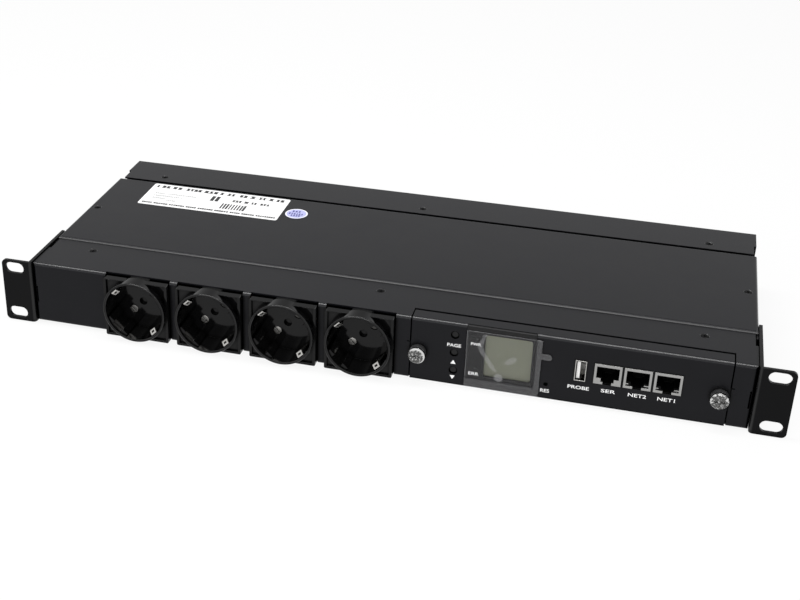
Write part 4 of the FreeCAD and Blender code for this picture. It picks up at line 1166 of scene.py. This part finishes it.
@dataclass
class DisplayFilm:
    """The clear film over the display, with its pull tab."""

    left: float = 58.4
    right: float = 102.4
    low: float = 0.6
    high: float = 38.6
    step: float = 0.5
    front: float = -0.42
    back: float = -0.28
    tab_low: float = 26.1
    tab_high: float = 30.1
    tab_tip: float = 108.4
    tab_columns: int = 12
    tab_least: float = 0.01
    close: float = 1e-6
    waves: tuple[Place, ...] = ((0.05, 0.31, 0.17), (0.04, 0.13, -0.41))
    window: Place = (58.8, 99.3, 6.1)
    window_blur: float = 0.8
    clear: float = 0.02
    milky: float = 0.065
    rim: float = 0.13
    rim_width: float = 0.3
    most: float = 0.6
    touches: tuple[Ellipse, ...] = (
        (85.0, 22.0, 4.0, 1.9, 36.0, 0.09), (78.5, 9.5, 2.5, 2.7, 0.0, 0.15),
        (76.0, 14.3, 1.1, 0.9, -30.0, 0.08), (69.0, 36.4, 1.6, 0.8, 20.0, 0.11),
        (77.5, 25.0, 0.6, 0.6, 0.0, 0.06))
    touch_edge: Span = (1.1, 0.2)
    smear: tuple[Place, ...] = (
        (68.2, 34.2, 0.9), (67.0, 31.0, 1.3), (66.8, 28.5, 1.5), (67.9, 25.4, 1.4), (69.9, 22.6, 1.2),
        (71.9, 19.8, 1.3), (73.8, 16.8, 1.5), (74.6, 15.6, 1.2))
    smear_edge: Span = (1.15, 0.3)
    smear_haze: float = 0.1

    def haze(self, x: float, z: float) -> float:
        """Find how milky the film is at a place.

        Args:
            x: Distance to the right of the middle, in millimetres.
            z: Height above the underside.

        Returns:
            A share from 0 to 1.
        """
        left, right, low = self.window
        inside = min(x - left, right - x, z - low)
        value = self.milky + (self.clear - self.milky) * held((inside + self.window_blur / 2) / self.window_blur)
        end, blur = self.touch_edge
        for cx, cz, wide, tall, turn, strength in self.touches:
            c, s = math.cos(math.radians(turn)), math.sin(math.radians(turn))
            u, v = ((x - cx) * c + (z - cz) * s) / wide, ((z - cz) * c - (x - cx) * s) / tall
            value += (strength - self.clear) * held((end - math.hypot(u, v)) / blur)
        value += (self.smear_haze - self.clear) * self.smeared(x, z)
        border = min(x - self.left, z - self.low, self.high - z)
        if border < self.rim_width and x < self.right:
            value = max(value, self.rim)
        return min(value, self.most)

    def smeared(self, x: float, z: float) -> float:
        """Find how far a place lies in the long smear of trapped air.

        Args:
            x: Distance to the right of the middle, in millimetres.
            z: Height above the underside.

        Returns:
            A share from 0 to 1.
        """
        best = 0.0
        end, blur = self.smear_edge
        for (ax, az, aw), (bx, bz, bw) in zip(self.smear, self.smear[1:]):
            dx, dz = bx - ax, bz - az
            along = held(((x - ax) * dx + (z - az) * dz) / (dx * dx + dz * dz))
            off = math.hypot(x - ax - along * dx, z - az - along * dz) / (aw + along * (bw - aw))
            best = max(best, held((end - off) / blur))
        return best

    def wave(self, x: float, z: float) -> float:
        """Find how far the film stands off its plane, in millimetres and forward as a negative number."""
        return sum(height * math.sin(across * x + up * z) for height, across, up in self.waves)

    def columns(self) -> list[list[Span]]:
        """Lay out the film's points column by column, the tab last.

        Returns:
            Columns of places, each from the bottom up.
        """
        rows = int(round((self.high - self.low) / self.step))
        heights = [self.low + i * self.step for i in range(rows + 1)]
        across = int(round((self.right - self.left) / self.step))
        body = [[(self.left + i * self.step, z) for z in heights] for i in range(across + 1)]
        middle, half = (self.tab_low + self.tab_high) / 2, (self.tab_high - self.tab_low) / 2
        inner = [z for z in heights if self.tab_low - self.close <= z <= self.tab_high + self.close]
        reach = self.tab_tip - self.right
        tab = []
        for i in range(1, self.tab_columns + 1):
            along = i / self.tab_columns * reach
            past = max(along - (reach - half), 0.0) / half
            tall = math.sqrt(max(1.0 - past * past, self.tab_least))
            tab.append([(self.right + along, middle + (z - middle) * tall) for z in inner])
        return body + tab

    def quads(self, columns: list[list[Span]]) -> list[tuple[int, ...]]:
        """Span the film's front between its columns.

        Args:
            columns: Columns of places, the tab's shorter ones last.

        Returns:
            Faces, as numbers of places.
        """
        tall = len(columns[0])
        starts = [0, *accumulate(len(column) for column in columns)]
        offset = next(i for i, (_, z) in enumerate(columns[0]) if z > self.tab_low - self.close)
        quads = []
        for i, (here, there) in enumerate(zip(columns, columns[1:])):
            shift = offset if len(here) == tall and len(there) < tall else 0
            for j in range(min(len(here), len(there)) - 1):
                a, b = starts[i] + shift + j, starts[i + 1] + j
                quads.append((a, b, b + 1, a + 1))
        return quads

    def build(self) -> None:
        """Build the film with its thickness and its milky places."""
        columns = self.columns()
        places = [place for column in columns for place in column]
        quads = self.quads(columns)
        edges = [(quad[k - 1], quad[k]) for quad in quads for k in (1, 2, 3, 0)]
        known = set(edges)
        count = len(places)
        faces = quads + [tuple(count + k for k in reversed(quad)) for quad in quads]
        faces += [(b, a, count + a, count + b) for a, b in edges if (b, a) not in known]
        verts = [at(x, y + self.wave(x, z), z) for y in (self.front, self.back) for x, z in places]
        mesh = built_mesh("film", verts, faces)
        layer = mesh.attributes.new("haze", "FLOAT", "POINT")
        for k, (x, z) in enumerate(places + places):
            layer.data[k].value = self.haze(x, z)
        mesh.polygons.foreach_set("use_smooth", [True] * len(mesh.polygons))
        placed("film_sheet", mesh, Look.FILM, ("protective_film",))


@dataclass(frozen=True)
class PrintStyle:
    """One kind of print: its height, the weight of its strokes and its ink."""

    height: float
    weight: float
    look: Look = Look.INK


@dataclass
class TopLabels:
    """The paper label and the round sticker on the cover."""

    TITLE: ClassVar[PrintStyle] = PrintStyle(3.9, 1.8)
    HEADING: ClassVar[PrintStyle] = PrintStyle(3.2, 1.6)
    FOOTING: ClassVar[PrintStyle] = PrintStyle(2.1, 2.4)
    SMALL: ClassVar[PrintStyle] = PrintStyle(1.7, 1.3, Look.GREY_INK)
    MARKS: ClassVar[PrintStyle] = PrintStyle(2.4, 1.3, Look.STICKER_INK)
    # Height, least and most width, and lift of the stems, of the bars at their tops and of those at their feet.
    STROKES: ClassVar[tuple[tuple[float, float, float, float], ...]] = (
        (1.0, 0.24, 0.44, 0.0), (0.26, 0.3, 0.86, 0.37), (0.26, 0.3, 0.86, -0.37))
    MOST_WIDTHS: ClassVar[Span] = (0.9, 1.0)
    CODE_WIDTHS: ClassVar[Span] = (0.4, 0.8)
    CODE_SEED: ClassVar[int] = 17
    SMALL_SEED: ClassVar[int] = 40
    MARKS_SEED: ClassVar[int] = 60

    top: float = 43.0
    depth: float = 0.03
    layer: float = 0.004
    pitch: float = 0.78
    title: tuple[Span, ...] = (
        (-188.9, -187.2), (-185.2, -179.0), (-177.2, -169.7), (-166.8, -155.2), (-153.4, -142.9),
        (-141.8, -138.3), (-136.1, -130.2), (-127.1, -121.1), (-119.2, -115.0), (-112.9, -107.5),
        (-105.8, -101.4), (-100.2, -94.1))
    heading: tuple[Span, ...] = ((-129.3, -122.3), (-120.8, -117.1), (-115.6, -111.3), (-109.0, -102.1))
    small: tuple[Place, ...] = (
        (-186.0, -178.9, 123.4), (-176.5, -155.1, 123.8), (-185.8, -164.0, 119.6), (-185.3, -175.8, 115.6),
        (-174.2, -167.3, 113.3))
    footing: tuple[Span, ...] = (
        (-189.6, -182.0), (-181.0, -170.5), (-169.6, -158.0), (-157.2, -149.5), (-148.4, -137.2),
        (-136.4, -126.0), (-125.0, -117.6), (-116.6, -107.4), (-106.4, -92.4))
    title_y: float = 134.9
    heading_y: float = 125.4
    footing_y: float = 106.9
    bars: tuple[Span, ...] = ((-143.6, 125.5), (-140.2, 125.5))
    bar_size: Span = (2.5, 8.2)
    code: tuple[float, float, float, float] = (-134.8, 115.4, 18.4, 8.6)
    code_bars: int = 9
    sticker: Place = (-80.5, 118.0, 7.75)
    border: float = 0.95
    border_inset: float = 0.05
    border_sides: int = 96
    sticker_runs: tuple[Place, ...] = ((-4.0, 2.4, 3.3), (-5.5, 4.9, -0.4), (-3.4, 3.6, -3.4))

    def build(self, row: PrintRow) -> None:
        """Dress the papers and print them.

        Args:
            row: The tree that makes rows of print.
        """
        dress_nodes(Look.PAPER, "type_label")
        dress_nodes(Look.STICKER, "round_sticker")
        lines = ((self.title, self.title_y, self.TITLE), (self.heading, self.heading_y, self.HEADING),
                 (self.footing, self.footing_y, self.FOOTING))
        runs = [((start, end, y), style) for spans, y, style in lines for start, end in spans]
        strokes = [mesh for k, (run, style) in enumerate(runs) for mesh in self.run(row, run, style, k)]
        strokes += [self.block(x, y, *self.bar_size) for x, y in self.bars]
        strokes.append(self.stripes(row))
        placed("label_print", joined(strokes), Look.INK)
        strokes = [mesh for k, run in enumerate(self.small)
                   for mesh in self.run(row, run, self.SMALL, self.SMALL_SEED + k)]
        placed("label_small_print", joined(strokes), Look.GREY_INK)
        self.build_sticker(row)

    def run(self, row: PrintRow, run: Place, style: PrintStyle, seed: int) -> list[Mesh]:
        """Print one run as rows of short strokes: stems, and bars at their tops and feet.

        Args:
            row: The tree that makes a row.
            run: Where it starts and ends, and its middle line.
            style: Its kind of print.
            seed: Where its random widths start.

        Returns:
            Three rows in place.
        """
        start, end, y = run
        count = max(1, round((end - start) / (self.pitch * style.height)))
        step = (end - start) / count
        thinnest, thickest = self.MOST_WIDTHS
        meshes = []
        for k, (tall, thin, thick, lift) in enumerate(self.STROKES):
            mesh = row.grow(style.look, Count=count, Step=step * MM, Height=tall * style.height * MM,
                            Depth=(self.depth + self.layer * k) * MM,
                            Thin=min(thin * style.weight, thinnest) * step * MM,
                            Thick=min(thick * style.weight, thickest) * step * MM,
                            Seed=len(self.STROKES) * seed + k)
            meshes.append(moved(mesh, start + step / 2, y + lift * style.height, self.top))
        return meshes

    def stripes(self, row: PrintRow) -> Mesh:
        """Print the field of upright bars.

        Args:
            row: The tree that makes a row.

        Returns:
            The bars in place.
        """
        x, y, wide, tall = self.code
        step = wide / self.code_bars
        thin, thick = self.CODE_WIDTHS
        mesh = row.grow(Look.INK, Count=self.code_bars, Step=step * MM, Height=tall * MM, Depth=self.depth * MM,
                        Thin=thin * step * MM, Thick=thick * step * MM, Seed=self.CODE_SEED)
        return moved(mesh, x + step / 2, y, self.top)

    def block(self, x: float, y: float, wide: float, tall: float) -> Mesh:
        """Print one dark field about its middle, of a width and of a length from front to back."""
        corners = ((-wide / 2, -tall / 2), (wide / 2, -tall / 2), (wide / 2, tall / 2), (-wide / 2, tall / 2))
        return moved(solid_outline(corners, self.depth / 2), x, y, self.top)

    def build_sticker(self, row: PrintRow) -> None:
        """Print the sticker's pale border and its marks.

        Args:
            row: The tree that makes rows of print.
        """
        x, y, radius = self.sticker
        hoop = self.hoop(radius - self.border_inset, radius - self.border)
        placed("sticker_border", moved(hoop, x, y, self.top), Look.STICKER_EDGE)
        marks = []
        for k, (left, right, lift) in enumerate(self.sticker_runs):
            marks += self.run(row, (x + left, x + right, y + lift), self.MARKS, self.MARKS_SEED + k)
        placed("sticker_marks", joined(marks), Look.STICKER_INK)

    def hoop(self, outer: float, inner: float) -> Mesh:
        """Cut a flat ring.

        Args:
            outer: Its outer radius in millimetres.
            inner: Its inner radius.

        Returns:
            A closed mesh about its own centre.
        """
        count, half = self.border_sides, self.depth / 2
        corners = ((outer, -half), (outer, half), (inner, half), (inner, -half))
        verts, faces = [], []
        for i in range(count):
            angle = 2 * math.pi * i / count
            verts += [Vector((r * math.cos(angle), r * math.sin(angle), z)) * MM for r, z in corners]
            a, b = 4 * i, 4 * ((i + 1) % count)
            faces += [(a + k, b + k, b + (k + 1) % 4, a + (k + 1) % 4) for k in range(4)]
        return built_mesh("hoop", verts, faces)


@dataclass
class PowerSide:
    """What is inside the chassis and on its rear wall."""

    stud_x: float = 95.0
    stud_z: float = 20.8
    stud_radius: float = 2.42
    thread_start: float = 185.4
    thread_end: float = 190.3
    pitch: float = 0.8
    ridge: float = 0.34

    def build(self, thread: ThreadTurns) -> None:
        """Dress the inner pieces and the rear, and cut the stud's thread.

        Args:
            thread: The tree that makes the thread.
        """
        dress_nodes(Look.BOARD, "relay_board")
        dress_nodes(Look.RELAY, "relays")
        dress_nodes(Look.PLAIN, "supply_module", "mains_inlet")
        dress_nodes(Look.COPPER, "busbars")
        dress_nodes(Look.WHITE, "terminal_block")
        dress_nodes(Look.NICKEL, "board_posts", "inlet_pins", "earth_stud")
        dress_nodes(Look.SCREW, "inlet_screws")
        length = self.thread_end - self.thread_start
        mesh = thread.grow(Look.NICKEL, Turns=length / self.pitch, Radius=self.stud_radius * MM,
                           Length=length * MM, Ridge=self.ridge * MM)
        moved(mesh, self.stud_x, self.thread_start, self.stud_z, FACE_BACK)
        placed("stud_thread", mesh, Look.NICKEL)


@dataclass
class Lamp:
    """One soft lamp: place and target in metres, size and power."""

    name: str
    place: Place
    aim: Place
    size: Span
    power: float


@dataclass
class Studio:
    """The pale floor, the lamps, the sky and the camera."""

    floor_half: float = 6.0
    floor_tone: Colour = (0.86, 0.86, 0.86)
    floor_grain: float = 300.0
    floor_spread: float = 0.03
    floor_rough: float = 0.8
    floor_specular: float = 0.1
    floor_glow: float = 0.88
    sky_diffuse: float = 0.45
    lamps: tuple[Lamp, ...] = (
        Lamp("overhead_softbox", (-0.25, 0.05, 1.3), (-0.25, 0.05, 0.0), (1.4, 0.2), 15.0),
        Lamp("front_fill", (-0.3, -1.5, 0.8), (-0.1, 0.0, 0.0), (1.5, 0.6), 13.0))
    eye: Place = (0.1536, -0.68105, 0.4018)
    ahead: Place = (-0.2525, 0.8528, -0.4570)
    above: Place = (-0.1328, 0.4373, 0.8894)
    lens: float = 60.2
    sensor: float = 36.0
    nearest: float = 0.01
    shift: Span = (0.134, -0.0304)

    def build(self) -> None:
        """Set the whole stage."""
        self.build_floor()
        self.build_sky()
        for lamp in self.lamps:
            self.build_lamp(lamp)
        self.build_camera()
        bpy.context.scene.view_settings.view_transform = "Standard"

    @staticmethod
    def seen(graph: Graph) -> Socket:
        """Find the rays that look at the background, straight or by way of gloss or glass.

        Args:
            graph: The tree that asks.

        Returns:
            A socket that is 1 for such rays.
        """
        path = graph.add("ShaderNodeLightPath").outputs
        mirror = graph.math("MAXIMUM", path["Is Glossy Ray"], path["Is Transmission Ray"])
        return graph.math("MAXIMUM", path["Is Camera Ray"], mirror)

    def build_floor(self) -> None:
        """Lay a pale floor under the unit that keeps its shadow."""
        low, half = CAD_BOX[0][2], self.floor_half
        corners = [(-half, -half, low), (half, -half, low), (half, half, low), (-half, half, low)]
        mesh = built_mesh("floor", corners, [(0, 1, 2, 3)])
        surface = Surface("pale_floor")
        tone = surface.effect(Effect.GRAIN, Grain=self.floor_grain, Spread=self.floor_spread)["Tone"]
        surface.dress(Base_Color=surface.tinted(self.floor_tone, tone), Roughness=self.floor_rough,
                      Specular_IOR_Level=self.floor_specular)
        glow = surface.add("ShaderNodeEmission").outputs[0]
        share = surface.math("MULTIPLY", self.seen(surface), self.floor_glow)
        both = surface.add("ShaderNodeMixShader", {0: share, 1: surface.shader.outputs[0], 2: glow})
        surface.feed(surface.result.inputs["Surface"], both.outputs[0])
        mesh.materials.append(surface.material)
        floor = bpy.data.objects.new("floor", mesh)
        bpy.context.scene.collection.objects.link(floor)

    def build_sky(self) -> None:
        """Set a white sky that lights the unit less than it shows."""
        world = bpy.data.worlds.new("studio_sky")
        world.use_nodes = True
        graph = Graph(world.node_tree)
        sky = next(node for node in world.node_tree.nodes if node.type == "BACKGROUND")
        graph.feed(sky.inputs["Color"], (1.0, 1.0, 1.0, 1.0))
        lift = graph.math("MULTIPLY", self.seen(graph), 1.0 - self.sky_diffuse)
        graph.feed(sky.inputs["Strength"], graph.math("ADD", lift, self.sky_diffuse))
        bpy.context.scene.world = world

    def build_lamp(self, lamp: Lamp) -> None:
        """Hang one soft lamp.

        Args:
            lamp: Its place, size and power.
        """
        data = bpy.data.lights.new(lamp.name, "AREA")
        data.shape = "RECTANGLE"
        data.size, data.size_y = lamp.size
        data.energy = lamp.power
        light = bpy.data.objects.new(lamp.name, data)
        bpy.context.scene.collection.objects.link(light)
        place, aim = Vector(lamp.place), Vector(lamp.aim)
        turn = (aim - place).to_track_quat("-Z", "Y").to_matrix().to_4x4()
        light.matrix_world = Matrix.Translation(place) @ turn

    def build_camera(self) -> None:
        """Stand the camera at the photograph's angle."""
        data = bpy.data.cameras.new("camera")
        data.sensor_width = self.sensor
        data.sensor_fit = "HORIZONTAL"
        data.lens = self.lens
        data.shift_x, data.shift_y = self.shift
        data.clip_start = self.nearest
        back = -Vector(self.ahead).normalized()
        right = Vector(self.above).cross(back).normalized()
        up = back.cross(right)
        turn = Matrix((right, up, back)).transposed().to_4x4()
        camera = bpy.data.objects.new("camera", data)
        camera.matrix_world = Matrix.Translation(Vector(self.eye)) @ turn
        bpy.context.scene.collection.objects.link(camera)
        bpy.context.scene.camera = camera


def main() -> None:
    """Build the unit's looks in order."""
    logging.basicConfig(level=logging.INFO, format="%(name)s %(message)s")
    row, ring, thread = PrintRow(), KnurlRing(), ThreadTurns()
    Housing().build()
    Outlets().build()
    ModuleFront().build()
    Ports().build()
    CaptiveScrews().build(ring)
    DisplayFilm().build()
    TopLabels().build(row)
    PowerSide().build(thread)
    Studio().build()


if __name__ == "__main__":
    main()
